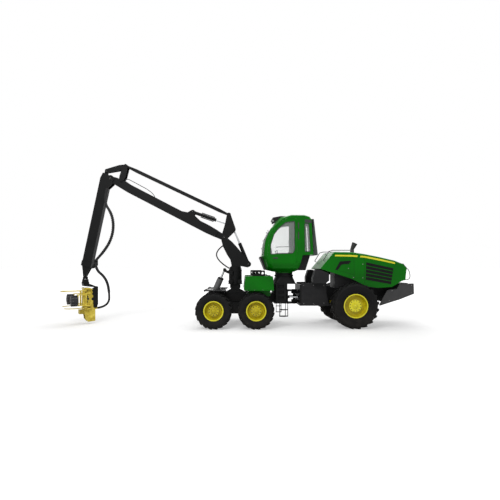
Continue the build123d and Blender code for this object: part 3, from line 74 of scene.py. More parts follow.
def ramp(tree, source, low, high, start=0.35, end=0.65):
    """A colour ramp from low to high over part of the source's range."""
    node = tree.nodes.new("ShaderNodeValToRGB")
    node.color_ramp.elements[0].position = start
    node.color_ramp.elements[0].color = (*low, 1)
    node.color_ramp.elements[1].position = end
    node.color_ramp.elements[1].color = (*high, 1)
    tree.links.new(source, node.inputs["Fac"])
    return node


def blend_colours(tree, share, first, second):
    """Mixes two colour outputs by a share output."""
    mix = tree.nodes.new("ShaderNodeMix")
    mix.data_type = "RGBA"
    tree.links.new(share, mix.inputs["Factor"])
    tree.links.new(first, mix.inputs["A"])
    tree.links.new(second, mix.inputs["B"])
    return mix.outputs["Result"]


def along_axis(tree, axis, start, end):
    """A share that goes from 0 to 1 between two places on an axis of the object's space, in metres."""
    place = tree.nodes.new("ShaderNodeTexCoord")
    split = tree.nodes.new("ShaderNodeSeparateXYZ")
    reach = tree.nodes.new("ShaderNodeMapRange")
    reach.inputs["From Min"].default_value = start
    reach.inputs["From Max"].default_value = end
    tree.links.new(place.outputs["Object"], split.inputs["Vector"])
    tree.links.new(split.outputs[axis], reach.inputs["Value"])
    return reach.outputs["Result"]


def add_bump(tree, shader, height, strength, distance):
    """Bump from a height output."""
    bump = tree.nodes.new("ShaderNodeBump")
    bump.inputs["Strength"].default_value = strength
    bump.inputs["Distance"].default_value = distance
    tree.links.new(height, bump.inputs["Height"])
    tree.links.new(bump.outputs["Normal"], shader.inputs["Normal"])


def finish_material(
    name,
    colour,
    shade,
    roughness,
    metallic=0.0,
    grain=9.0,
    bump=0.06,
    coat=0.0,
    specular=0.5,
    fine_scale=220.0,
    stretch=(1, 1, 1),
    dust=0.0,
    beyond=None,
):
    """A finish with cloudy colour, uneven gloss, a fine surface texture and road dust near the ground."""
    material, tree, shader = new_material(name)
    clouds = place_noise(tree, grain, 5.0, stretch)
    tint = ramp(tree, clouds.outputs["Fac"], shade, colour).outputs["Color"]
    for axis, start, end, other_colour, other_shade in beyond or ():
        other = ramp(tree, clouds.outputs["Fac"], other_shade, other_colour).outputs["Color"]
        tint = blend_colours(tree, along_axis(tree, axis, start, end), tint, other)
    if dust:
        low = along_axis(tree, "Z", 1.5, 0.0)
        patches = place_noise(tree, 5.0, 6.0)
        share = tree.nodes.new("ShaderNodeMath")
        share.operation = "MULTIPLY"
        tree.links.new(low, share.inputs[0])
        tree.links.new(patches.outputs["Fac"], share.inputs[1])
        soil = ramp(tree, share.outputs["Value"], (0, 0, 0), (dust, dust, dust), 0.1, 0.7).outputs["Color"]
        earth = ramp(tree, patches.outputs["Fac"], (0.10, 0.085, 0.065), (0.16, 0.14, 0.11)).outputs["Color"]
        tint = blend_colours(tree, soil, tint, earth)
    tree.links.new(tint, shader.inputs["Base Color"])
    gloss = tree.nodes.new("ShaderNodeMapRange")
    gloss.inputs["To Min"].default_value = roughness * 0.8
    gloss.inputs["To Max"].default_value = min(roughness * 1.25, 1.0)
    tree.links.new(clouds.outputs["Fac"], gloss.inputs["Value"])
    tree.links.new(gloss.outputs["Result"], shader.inputs["Roughness"])
    shader.inputs["Metallic"].default_value = metallic
    shader.inputs["Specular IOR Level"].default_value = specular
    shader.inputs["Coat Weight"].default_value = coat
    shader.inputs["Coat Roughness"].default_value = 0.08
    fine = place_noise(tree, fine_scale, 2.0)
    add_bump(tree, shader, fine.outputs["Fac"], bump, 0.001)
    return material


def cloth_material(name, colour, shade):
    """A woven seat cloth: crossed threads over a cloudy colour."""
    material, tree, shader = new_material(name)
    clouds = place_noise(tree, 24.0)
    tint = ramp(tree, clouds.outputs["Fac"], shade, colour)
    tree.links.new(tint.outputs["Color"], shader.inputs["Base Color"])
    shader.inputs["Roughness"].default_value = 0.9
    shader.inputs["Sheen Weight"].default_value = 0.25
    shader.inputs["Specular IOR Level"].default_value = 0.25
    place = tree.nodes.new("ShaderNodeTexCoord")
    threads = []
    for direction in ("X", "Y"):
        wave = tree.nodes.new("ShaderNodeTexWave")
        wave.bands_direction = direction
        wave.inputs["Scale"].default_value = 130.0
        wave.inputs["Distortion"].default_value = 0.6
        tree.links.new(place.outputs["Object"], wave.inputs["Vector"])
        threads.append(wave)
    weave = tree.nodes.new("ShaderNodeMath")
    weave.operation = "MULTIPLY"
    tree.links.new(threads[0].outputs["Fac"], weave.inputs[0])
    tree.links.new(threads[1].outputs["Fac"], weave.inputs[1])
    add_bump(tree, shader, weave.outputs["Value"], 0.5, 0.002)
    return material


def glass_material(name, tint, alpha):
    """A thin clear pane with a slight tint and faint smears."""
    material, tree, shader = new_material(name)
    smear = place_noise(tree, 3.0, 5.0, (1, 1, 0.3))
    colour = ramp(tree, smear.outputs["Fac"], tuple(0.94 * c for c in tint), tint)
    tree.links.new(colour.outputs["Color"], shader.inputs["Base Color"])
    shader.inputs["Roughness"].default_value = 0.03
    shader.inputs["Alpha"].default_value = alpha
    shader.inputs["Specular IOR Level"].default_value = 0.5
    add_bump(tree, shader, smear.outputs["Fac"], 0.02, 0.002)
    return material


# Colours as (bright, shaded), and the places in metres where a finish changes
tank_top = 1.8685
guard_start = 2.950
bumper_fade = (4.6, 5.2)
green = ((0.0018, 0.150, 0.0026), (0.0014, 0.122, 0.0020))
black = ((0.0078, 0.0080, 0.0082), (0.0056, 0.0058, 0.0060))
GREEN = finish_material(
    "green_paint", *green, 0.30,
    grain=1.5, bump=0.02, coat=0.06, specular=0.08, dust=0.08,
)
TANK_GREEN = finish_material(
    "green_paint_tank", *green, 0.30,
    grain=1.5, bump=0.02, coat=0.06, specular=0.08, dust=0.08,
    beyond=(("Z", tank_top, tank_top + 0.0005, *black),),
)
HEAD_YELLOW = finish_material(
    "head_yellow_paint", (0.86, 0.70, 0.11), (0.56, 0.42, 0.035), 0.40,
    grain=7.0, bump=0.10, specular=0.2, dust=0.25,
)
YELLOW = finish_material(
    "yellow_paint", (0.60, 0.50, 0.008), (0.47, 0.385, 0.006), 0.36,
    grain=6.0, bump=0.04, coat=0.1, specular=0.2, dust=0.16,
)
# A lighter yellow: the hood's real stripe, and painted highlight on the rims' lips and painted light on the
# rear hubs
STRIPE_AND_HIGHLIGHT_YELLOW = finish_material(
    "bright_yellow_paint", (0.82, 0.76, 0.035), (0.74, 0.67, 0.022), 0.32,
    grain=5.0, bump=0.03, coat=0.15, specular=0.25,
)
BLACK = finish_material("black_paint", *black, 0.46, grain=4.0, bump=0.05, specular=0.10, dust=0.10)
TRIM = finish_material(
    "black_trim", *black, 0.5,
    grain=6.0, bump=0.08, specular=0.2,
    beyond=(("X", guard_start, guard_start + 0.012, (0.085, 0.092, 0.095), (0.065, 0.070, 0.072)),),
)
PANEL = finish_material(
    "dark_grey_panel", (0.022, 0.022, 0.023), (0.017, 0.017, 0.018), 0.5,
    grain=4.0, bump=0.06, specular=0.10, dust=0.10,
    beyond=(("X", *bumper_fade, (0.066, 0.066, 0.067), (0.056, 0.056, 0.057)),),
)
GREY = finish_material(
    "grey_paint", (0.120, 0.121, 0.123), (0.092, 0.093, 0.095), 0.42,
    grain=5.0, bump=0.05, specular=0.3,
)
RUBBER = finish_material(
    "tyre_rubber", (0.0100, 0.0100, 0.0104), (0.0070, 0.0070, 0.0072), 0.74,
    grain=14.0, bump=0.30, specular=0.10, dust=0.12,
)
HOSE = finish_material(
    "hose_rubber", (0.010, 0.010, 0.0105), (0.007, 0.007, 0.007), 0.52,
    grain=20.0, bump=0.15, specular=0.25,
)
SLEEVE = finish_material(
    "woven_sleeve", (0.030, 0.030, 0.032), (0.014, 0.014, 0.015), 0.8,
    grain=60.0, bump=0.6, specular=0.2, fine_scale=420.0,
)
CHROME = finish_material(
    "rod_chrome", (0.56, 0.57, 0.58), (0.44, 0.45, 0.46), 0.14,
    metallic=1.0, grain=30.0, bump=0.01, stretch=(1, 1, 6),
)
IRON = finish_material(
    "cast_iron", (0.020, 0.020, 0.021), (0.012, 0.012, 0.013), 0.55,
    metallic=0.3, grain=14.0, bump=0.3,
)
STEEL = finish_material(
    "worn_steel", (0.36, 0.355, 0.35), (0.17, 0.165, 0.16), 0.38,
    metallic=0.9, grain=18.0, bump=0.12,
)
PLASTIC = finish_material(
    "moulded_plastic", (0.016, 0.016, 0.017), (0.011, 0.011, 0.012), 0.55,
    grain=40.0, bump=0.25,
)
GRIP = finish_material(
    "step_tread", (0.020, 0.020, 0.020), (0.010, 0.010, 0.010), 0.8,
    grain=60.0, bump=0.8, fine_scale=90.0,
)
LAMP = finish_material(
    "lamp_lens", (0.80, 0.82, 0.84), (0.66, 0.68, 0.70), 0.12,
    grain=30.0, bump=0.2, coat=0.8,
)
CLOTH = cloth_material("seat_cloth", (0.030, 0.030, 0.034), (0.018, 0.018, 0.020))
GLASS = glass_material("clear_glass", (0.80, 0.86, 0.84), 0.13)

node_finish = {
    GREEN: ("cab_shell", "cab_door", "hood"),
    TANK_GREEN: ("side_tanks",),
    BLACK: (
        "front_frame", "cab_pedestal", "crane_base", "crane_column", "rocker_arm", "main_boom", "link_bar",
        "knee_strut", "knee_link", "jib", "jib_extension", "hood_vents", "head_hanger",
        "saw_box", "tip_link", "rotator", "lift_barrel", "fold_barrel", "bogie_axle", "rear_axle",
        "rear_frame", "steering_barrel_left", "steering_barrel_right",
    ),
    TRIM: ("cab_trim",),
    PANEL: ("side_plates",),
    GREY: ("tilt_barrels", "handrails"),
    HEAD_YELLOW: ("head_frame", "arms_left", "arms_right"),
    CHROME: ("tilt_rods", "lift_rod", "fold_rod", "steering_rod_left", "steering_rod_right"),
    GLASS: ("cab_glass", "door_glass"),
    PLASTIC: ("cab_interior",),
    IRON: ("engine", "feed_roller_left", "feed_roller_right"),
    HOSE: ("jib_hose", "tip_hose", "column_hose"),
}


def give(node, material):
    """Gives a whole CAD node one material."""
    mesh = nodes[node].data
    mesh.materials.clear()
    mesh.materials.append(material)


for material, names in node_finish.items():
    for name in names:
        give(name, material)
for row in ("front", "middle", "rear"):
    for side in ("left", "right"):
        give(f"{row}_tyre_{side}", RUBBER)
        give(f"{row}_rim_{side}", YELLOW)


# Hoses, on the routes of their CAD tubes
def add_object(name, data, body):
    """A new piece in the scene that rides on a body."""
    piece = bpy.data.objects.new(name, data)
    bpy.context.scene.collection.objects.link(piece)
    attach(piece, body)
    return piece


def drawn_mesh(curve):
    """A new mesh of a curve as it is drawn."""
    probe = bpy.data.objects.new("probe", curve)
    bpy.context.scene.collection.objects.link(probe)
    bpy.context.view_layer.update()
    mesh = bpy.data.meshes.new_from_object(probe)
    bpy.data.objects.remove(probe)
    return mesh


def curve_points(curve):
    """The points of a curve as it is drawn, without its bevel."""
    bevel = curve.bevel_depth
    curve.bevel_depth = 0
    mesh = drawn_mesh(curve)
    points = [v.co.copy() for v in mesh.vertices]
    bpy.data.meshes.remove(mesh)
    curve.bevel_depth = bevel
    return points


def smooth_curve(name, route, radius, sides=5):
    """A round bar on one smooth curve. Its radius is on the points, so that its bounds are the bar's own."""
    data = bpy.data.curves.new(name, "CURVE")
    data.dimensions = "3D"
    data.resolution_u = 24
    data.bevel_depth = 1.0
    data.bevel_resolution = sides
    data.use_fill_caps = True
    spline = data.splines.new("NURBS")
    spline.points.add(len(route) - 1)
    for point, place in zip(spline.points, route):
        point.co = (*place, 1)
        point.radius = radius
    spline.order_u = 3
    spline.use_endpoint_u = True
    return data


def cross_axes(direction):
    """Two unit vectors across a direction."""
    first = direction.orthogonal().normalized()
    return first, direction.cross(first).normalized()


def round_loop(mesh, centre, radius, first, second, sides):
    """A loop of vertices on a circle in the plane of two unit vectors."""
    return [
        mesh.verts.new(centre + radius * (math.cos(angle) * first + math.sin(angle) * second))
        for angle in (2 * math.pi * i / sides for i in range(sides))
    ]


def close_loops(mesh, near, far):
    """Side faces between two loops of vertices."""
    for i in range(len(near)):
        j = (i + 1) % len(near)
        mesh.faces.new((near[i], near[j], far[j], far[i]))


def tube(mesh, loops):
    """A closed skin from loop to loop."""
    for near, far in zip(loops, loops[1:]):
        close_loops(mesh, near, far)
    mesh.faces.new(loops[0][::-1])
    mesh.faces.new(loops[-1])


def finished(mesh, name):
    """Mesh data, shaded smooth, from a bmesh that is then freed."""
    data = bpy.data.meshes.new(name)
    mesh.to_mesh(data)
    mesh.free()
    data.shade_smooth()
    return data


def part_of(points, start, end):
    """The points of a line between two shares of its length."""
    lengths = [0.0]
    for a, b in zip(points, points[1:]):
        lengths.append(lengths[-1] + (b - a).length)
    return [p for p, run in zip(points, lengths) if start <= run / lengths[-1] <= end]


def spiral_guard(points, radius, wire, pitch):
    """A wire wound round a line."""
    mesh = bmesh.new()
    steps_per_turn = 14
    turn_points = []
    run = 0.0
    side_axis = (points[1] - points[0]).orthogonal().normalized()
    for a, b in zip(points, points[1:]):
        heading = (b - a).normalized()
        side_axis = (side_axis - heading * side_axis.dot(heading)).normalized()
        other = heading.cross(side_axis)
        count = max(1, round((b - a).length / pitch * steps_per_turn))
        for step in range(count):
            share = step / count
            angle = 2 * math.pi * (run + (b - a).length * share) / pitch
            outward = math.cos(angle) * side_axis + math.sin(angle) * other
            turn_points.append(a.lerp(b, share) + radius * outward)
        run += (b - a).length
    loops = []
    for before, here, after in zip(turn_points, turn_points[1:], turn_points[2:]):
        heading = (after - before).normalized()
        if loops:
            first = (first - heading * first.dot(heading)).normalized()
            second = heading.cross(first)
        else:
            first, second = cross_axes(heading)
        loops.append(round_loop(mesh, here, wire, first, second, 6))
    tube(mesh, loops)
    return finished(mesh, "spiral")


def ribbed_sleeve(points, radius, ridge, pitch):
    """A sleeve round a line, with low ribs across it."""
    mesh = bmesh.new()
    side_axis = (points[1] - points[0]).orthogonal().normalized()
    run = 0.0
    steps_per_rib = 6
    loops = []
    for a, b in zip(points, points[1:]):
        heading = (b - a).normalized()
        side_axis = (side_axis - heading * side_axis.dot(heading)).normalized()
        other = heading.cross(side_axis)
        count = max(1, round((b - a).length / pitch * steps_per_rib))
        for step in range(count):
            share = step / count
            wave = 0.5 + 0.5 * math.cos(2 * math.pi * (run + (b - a).length * share) / pitch)
            loops.append(round_loop(mesh, a.lerp(b, share), radius + ridge * wave, side_axis, other, 16))
        run += (b - a).length
    tube(mesh, loops)
    return finished(mesh, "sleeve")


hose_rows = (
    # node, body, radius in metres, stiffness, points
    (
        "jib_hose",
        "jib",
        0.048,
        "stiff",
        (
            (-4890, -178.3, 5200),
            (-5040, -178.3, 4700),
            (-4690, -178.3, 4200),
            (-4640, -178.3, 3560),
            (-4900, -178.3, 2900),
            (-5325, -178.3, 2455),
        ),
    ),
    (
        "column_hose",
        "crane_column",
        0.024,
        "stiff",
        ((-430, -164.3, 3040), (-780, -180, 2800), (-620, -190, 2380), (-233, -107, 2150)),
    ),
    (
        "tip_hose",
        "jib_extension",
        0.040,
        "limp",
        (
            (-5330, -170.3, 2377),
            (-5345, -170.3, 2110),
            (-4990, -110, 1800),
            (-4905, 60, 1350),
            (-4945, 188, 665),
            (-5392.1, 144.1, 600),
        ),
    ),
)
for node, body, radius, stiffness, route in hose_rows:
    places = [at(*point) for point in route]
    data = smooth_curve(node + "_look", places, radius)
    data.materials.append(HOSE)
    hose = add_object(node + "_look", data, body)
    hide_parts(node)
    line = curve_points(data)
    if node == "jib_hose":
        wire = spiral_guard(part_of(line, 0.30, 0.90), radius + 0.004, wire=0.011, pitch=0.072)
        add_object("jib_hose_guard", wire, body)
        wire.materials.append(HOSE)
    if node == "tip_hose":
        ribs = ribbed_sleeve(part_of(line, 0.07, 0.60), radius + 0.007, ridge=0.004, pitch=0.030)
        add_object("tip_hose_sleeve", ribs, body)
        ribs.materials.append(SLEEVE)


# Fittings: each body's small forms are collected by finish
collections = {}


def form(body, material, slot="black_paint"):
    """The mesh that collects a body's fittings in one finish."""
    key = (body, material.name)
    if key not in collections:
        collections[key] = (bmesh.new(), body, material, slot)
    return collections[key][0]


def plate(mesh, outline, y_low, y_high):
    """A plate with its outline, in millimetres, in the side view."""
    near = [mesh.verts.new(at(x, y_low, z)) for x, z in outline]
    far = [mesh.verts.new(at(x, y_high, z)) for x, z in outline]
    mesh.faces.new(near)
    mesh.faces.new(far[::-1])
    close_loops(mesh, near, far)


def on_side(y_side, inner, outer):
    """The low and the high Y between two distances from the middle, on one side."""
    return tuple(sorted((y_side * inner, y_side * outer)))


def block(mesh, x_low, x_high, y_low, y_high, z_low, z_high):
    """A block between limits in millimetres."""
    plate(mesh, [(x_low, z_low), (x_high, z_low), (x_high, z_high), (x_low, z_high)], y_low, y_high)


def rounded(outline, radius, steps=6):
    """An outline with arcs at its corners."""
    points = []
    count = len(outline)
    for i in range(count):
        before, corner, after = (Vector(outline[(i + k) % count]) for k in (-1, 0, 1))
        to_before, to_after = (before - corner), (after - corner)
        turn = to_before.angle(to_after)
        reach = min(radius / math.tan(turn / 2), 0.48 * to_before.length, 0.48 * to_after.length)
        start = corner + to_before.normalized() * reach
        end = corner + to_after.normalized() * reach
        for step in range(steps + 1):
            t = step / steps
            points.append(tuple((1 - t) ** 2 * start + 2 * t * (1 - t) * corner + t ** 2 * end))
    return points


def moved_in(outline, distance):
    """An outline moved in by a distance, with as many points as before."""
    count = len(outline)
    twice_area = sum(x1 * z2 - x2 * z1 for (x1, z1), (x2, z2) in zip(outline, outline[1:] + outline[:1]))
    turn = 1 if twice_area > 0 else -1
    result = []
    for i in range(count):
        before, here, after = (Vector(outline[(i + k) % count]) for k in (-1, 0, 1))
        heading = (after - before).normalized()
        result.append(tuple(here + turn * distance * Vector((-heading.y, heading.x))))
    return result


def frame_ring(mesh, outline, outer, inner, y_low, y_high):
    """A flat frame that follows an outline, from outside it to inside it."""
    loops = [
        [mesh.verts.new(at(x, y, z)) for x, z in moved_in(outline, reach)]
        for reach, y in ((-outer, y_low), (inner, y_low), (inner, y_high), (-outer, y_high))
    ]
    for near, far in zip(loops, loops[1:] + loops[:1]):
        close_loops(mesh, near, far)


def rod(mesh, start, end, radius, sides=16, end_radius=None):
    """A round or many-sided bar between two points in millimetres."""
    a, b = Vector(at(*start)), Vector(at(*end))
    axes = cross_axes((b - a).normalized())
    ends = ((a, radius), (b, radius if end_radius is None else end_radius))
    tube(mesh, [round_loop(mesh, place, size / 1000, *axes, sides) for place, size in ends])


def bolt(mesh, place, axis, size):
    """A hexagonal bolt head on a washer, standing along an axis from its place."""
    height = size * 0.8
    base, way = Vector(place), Vector(axis)
    rod(mesh, base, base + way * height * 0.25, size * 1.25, 16)
    rod(mesh, base + way * height * 0.25, base + way * height, size, 6)


def ring(mesh, centre, profile, steps=64):
    """A ring about the Y axis from a closed profile of radius and Y, both in millimetres."""
    x, z = centre
    loops = []
    for step in range(steps):
        angle = 2 * math.pi * step / steps
        places = [(x + radius * math.cos(angle), y, z + radius * math.sin(angle)) for radius, y in profile]
        loops.append([mesh.verts.new(at(*place)) for place in places])
    for near, far in zip(loops, loops[1:] + loops[:1]):
        close_loops(mesh, near, far)


def pipe(mesh, points, radius):
    """A bent steel pipe on a smooth line through millimetre points."""
    curve = smooth_curve("pipe", [at(*point) for point in points], radius / 1000, 3)
    drawn = drawn_mesh(curve)
    mesh.from_mesh(drawn)
    bpy.data.meshes.remove(drawn)
    bpy.data.curves.remove(curve)


def pin_cap(body, point, y_face, radius):
    """A pivot pin's end plate with three bolts, on both sides."""
    x, z = point
    cap = form(body, BLACK)
    bolts = form(body, STEEL, "rod_chrome")
    for y_side in SIDES:
        y = y_side * y_face
        shoulder, face = y + y_side * 5, y + y_side * 9
        ring(cap, point, ((12, y), (radius, y), (radius, shoulder), (radius - 4, face), (12, face)), 32)
        for turn in (90, 210, 330):
            angle = math.radians(turn)
            place = (x + radius * 0.62 * math.cos(angle), face, z + radius * 0.62 * math.sin(angle))
            bolt(bolts, place, (0, y_side, 0), radius * 0.15)
        rod(cap, (x, y, z), (x, y + y_side * 6, z), 14)


# Wheels: a lip of painted highlight on each rim, a bolted hub (in the lighter yellow on the rear wheels as
# painted light) and rings on the tyre's wall
wheel_rows = (
    # name, x, height, middle of the wheel, rim radius, hub disc, its bolt circle and count, rings on the wall
    ("front", -750, 645, 1090, 350, 196, 160, 10, ((441, 290), (402, 271))),
    ("middle", 750, 645, 1090, 350, 196, 160, 10, ((441, 290), (402, 271))),
    ("rear", 4270, 815, 1020, 425, 224, 188, 12, ((549, 290), (488, 268))),
)
# Profiles as (radius, distance outwards from the wheel's middle), with the lip's radius beyond the rim
lip_rows = ((-34, 224), (4, 224), (6, 231), (3, 238), (-7, 241), (-30, 237))
cap_rows = ((4, 148), (96, 148), (96, 168), (88, 178), (52, 181), (48, 196), (40, 202), (4, 203))
bead_rows = ((-9, 0), (-4, 6), (4, 6), (9, 0), (0, -9))
for name, x, height, middle_y, rim_radius, disc_radius, bolt_circle, bolt_count, wall_rings in wheel_rows:
    for y_side, side_name in NAMED_SIDES:
        body = f"{name}_wheel_{side_name}"
        centre = (x, height)
        # Painted highlight: the rim's lip is given a lighter yellow where light catches it
        lip = form(body, STRIPE_AND_HIGHLIGHT_YELLOW, "yellow_paint")
        ring(lip, centre, [(rim_radius + r, y_side * (middle_y + y)) for r, y in lip_rows])
        disc_rows = ((70, 133), (disc_radius, 133), (disc_radius, 141), (disc_radius - 6, 147), (70, 149))
        # Painted light: the rear hubs take the lighter yellow, a lit copy of the rims' yellow
        hub = form(body, STRIPE_AND_HIGHLIGHT_YELLOW if name == "rear" else YELLOW, "yellow_paint")
        ring(hub, centre, [(r, y_side * (middle_y + y)) for r, y in disc_rows])
        ring(hub, centre, [(r, y_side * (middle_y + y)) for r, y in cap_rows])
        bolts = form(body, IRON, "yellow_paint")
        for count, circle, size, y in ((bolt_count, bolt_circle, 13, 147), (8, 76, 7, 178)):
            for step in range(count):
                angle = 2 * math.pi * (step + 0.5) / count
                across, up = circle * math.cos(angle), circle * math.sin(angle)
                bolt(bolts, (x + across, y_side * (middle_y + y), height + up), (0, y_side, 0), size)
        valve_x = x + rim_radius - 64
        valve_foot = (valve_x, y_side * (middle_y + 60), height)
        rod(bolts, valve_foot, (valve_x + 6, y_side * (middle_y + 110), height), 6)
        wall = form(body, RUBBER, "tyre_rubber")
        for radius, y in wall_rings:
            ring(wall, centre, [(radius + r, y_side * (middle_y + y + out)) for r, out in bead_rows])

# Hood: a yellow stripe, a louvre panel, a scoop whose recess is a black plate of painted shade, seams and
# latches on both sides
hood_face = 859.5
panel_face = hood_face + 3
stripe_rows = (
    [(3640, 2640), (4247, 2632), (4462, 2616), (4437, 2555), (4247, 2572), (3625, 2585)],
    [
        (4560, 2609), (4700, 2598), (5263, 2490), (5800, 2366),
        (5812, 2305), (5263, 2425), (4700, 2535), (4535, 2548),
    ],
)
panel_outline = [
    (4720, 2450), (5790, 2255), (5800, 1720), (5700, 1540), (5190, 1503), (4800, 1556), (4720, 1590),
]
scoop_outline = [
    (3630, 2091), (3811, 2399), (4210, 2425), (4138, 2309), (3956, 2301), (3855, 2272), (3738, 2091),
]
seam_rows = (((4708, 2525), (4700, 1580)), ((4310, 2560), (4330, 1775)), ((3585, 2110), (4290, 1920)))
latch_places = ((4120, 2145), (4301, 1815), (4640, 2300), (4640, 1800))
latch_rows = ((3, 859), (16, 859), (16, 864), (12, 867), (3, 866))
handle_route = ((6285, 2150), (6420, 2150), (6486, 1690), (6240, 1735))
band_corners = ((4762, 2374), (5753, 2156), (5662, 1550), (4740, 1712))
band_count = 5


def on_band(share, across):
    """A point of the louvre panel, from its top down and from its left to its right."""
    (x1, z1), (x2, z2), (x3, z3), (x4, z4) = band_corners
    left = (x1 + (x4 - x1) * share, z1 + (z4 - z1) * share)
    right = (x2 + (x3 - x2) * share, z2 + (z3 - z2) * share)
    return tuple(a + (b - a) * across for a, b in zip(left, right))


for y_side in SIDES:
    stripe = form("hood", STRIPE_AND_HIGHLIGHT_YELLOW, "yellow_paint")
    for outline in stripe_rows:
        plate(stripe, outline, y_side * hood_face, y_side * 862)
    skin = form("hood", GREEN, "green_paint")
    plate(skin, rounded(panel_outline, 30), y_side * hood_face, y_side * panel_face)
    dark = form("hood", BLACK)
    for band in range(band_count):
        top, foot = (band + 0.04) / band_count, (band + 0.84) / band_count
        outline = [on_band(top, 0), on_band(top, 1), on_band(foot, 1), on_band(foot, 0)]
        plate(dark, rounded(outline, 14), y_side * 862, y_side * 863.2)
        edge = [on_band(foot, 0), on_band(foot, 1), on_band(foot + 0.03, 1), on_band(foot + 0.03, 0)]
        plate(skin, edge, y_side * 862, y_side * 872)
    scoop = rounded(scoop_outline, 18)
    # Painted shade: a black plate stands for the shade in the scoop's recess
    plate(dark, scoop, y_side * hood_face, y_side * 861.5)
    frame_ring(skin, scoop, 12, 0, y_side * hood_face, y_side * 866)
    for (x1, z1), (x2, z2) in seam_rows:
        seam = [(x1, z1), (x1 + 7, z1 + 4), (x2 + 7, z2 + 4), (x2, z2)]
        plate(dark, seam, y_side * hood_face, y_side * 860.8)
    for point in latch_places:
        latch = form("hood", STEEL, "rod_chrome")
        ring(latch, point, [(radius, y_side * y) for radius, y in latch_rows], 24)
    pipe(form("hood", GREY, "grey_paint"), [(x, y_side * 640, z) for x, z in handle_route], 13)
grille = form("hood", IRON)
for step in range(9):
    x, z = 6262 - 8 * step, 2110 - 46 * step
    block(grille, x - 10, x + 26, -640, 640, z, z + 9)
# Exhaust: a dark tip with a rolled edge
tip = form("hood", IRON)
rod(tip, (4515, 0, 2665), (4520, 0, 2900), 74, 32, 70)
rod(tip, (4518, 0, 2890), (4622, 0, 3112), 68, 32, 104)

# Side panels and bumper: fold lines, lids and bolts
side_panel_outline = [(2500, 800), (2500, 1560), (3330, 1575), (3330, 1230), (3420, 800)]
bumper_outline = [
    (5585, 1372), (5900, 1408), (6010, 1560), (6440, 1575), (6462, 1240), (5989, 1055), (5330, 830),
]
side_panel_face = 599
bumper_face = 859
side_panel_bolts = ((2540, 840), (2540, 1520), (3290, 1520), (3290, 860), (2900, 840), (2900, 1520))
bumper_bolts = ((5700, 1330), (6400, 1530), (6400, 1260), (5600, 980))
for y_side in SIDES:
    line = form("rear_frame", PANEL)
    for z in (1404, 1200, 1000):
        block(line, 2500, 3330, y_side * side_panel_face, y_side * (side_panel_face + 4), z, z + 10)
    for outline, face, width, height in (
        (side_panel_outline, side_panel_face, 14, 5), (bumper_outline, bumper_face, 12, 4),
    ):
        frame_ring(line, rounded(outline, 30), 0, width, y_side * face, y_side * (face + height))
    bolts = form("rear_frame", STEEL, "rod_chrome")
    for x, z in side_panel_bolts:
        bolt(bolts, (x, y_side * (side_panel_face + 3), z), (0, y_side, 0), 10)
    for x, z in bumper_bolts:
        bolt(bolts, (x, y_side * (bumper_face + 2), z), (0, y_side, 0), 10)

# Tanks: anti-slip mats, filler caps, a raised frame and bolts
tank_outline = [(360, 1395), (400, 1825), (1345, 1825), (1345, 1395)]
for y_side in SIDES:
    mat = form("front_frame", GRIP)
    for step in range(11):
        x = 420 + 62 * step
        block(mat, x, x + 44, y_side * 540, y_side * 960, 1867.5, 1872)
    cap = form("front_frame", BLACK)
    rod(cap, (1235, y_side * 760, 1867), (1235, y_side * 760, 1893), 62, 32)
    rod(cap, (1235, y_side * 760, 1893), (1235, y_side * 760, 1899), 44, 6)
    tank_frame = form("front_frame", GREEN, "green_paint")
    frame_ring(tank_frame, rounded(tank_outline, 30), 0, 10, y_side * 1149, y_side * 1153)
    bolts = form("front_frame", STEEL, "rod_chrome")
    for x in (430, 700, 1000, 1310):
        bolt(bolts, (x, y_side * 1150, 1376), (0, y_side, 0), 8)

# Cab: seals, screen edges, lamps, a handle and the strip behind the door
window_outline = [
    (1290, 2660), (1305, 3020), (1418, 3378), (1590, 3620),
    (1850, 3830), (2190, 3880), (2190, 2830), (2120, 2700),
]
rear_side_outline = [(2560, 2760), (2545, 3800), (2700, 3790), (2760, 2760)]
screen_edge = ((1062, 2610), (1080, 2916), (1139, 3243), (1304, 3596), (1590, 3905))
corner_outline = [(2552, 3828), (2556, 3948), (2786, 3920), (2802, 3800), (2700, 3812)]
lamp_outline = [(1432, 3905), (1428, 3985), (1500, 3990), (1520, 3935), (1500, 3905)]
lens_outline = [(1426, 3912), (1422, 3978), (1432, 3979), (1436, 3912)]
grab_rail = [(1500, -716, 2925), (1700, -708, 2936), (2000, -708, 2942), (2200, -716, 2945)]
seal_inner, seal_outer = 742, 753
door_seal = form("cab_door", PLASTIC)
frame_ring(door_seal, rounded(window_outline, 60), 8, 16, -seal_outer, -seal_inner)
handle = rounded([(1389, 2500), (1389, 2548), (1572, 2548), (1572, 2500)], 16)
plate(door_seal, handle, -752, -749)
rod(door_seal, (1410, -760, 2524), (1550, -760, 2524), 8)
for x in (1414, 1546):
    rod(door_seal, (x, -749, 2524), (x, -760, 2524), 7)
pipe(form("cab_door", BLACK), grab_rail, 12)
seal = form("cab", PLASTIC)
frame_ring(seal, rounded(window_outline, 60), 8, 16, seal_inner, seal_outer)
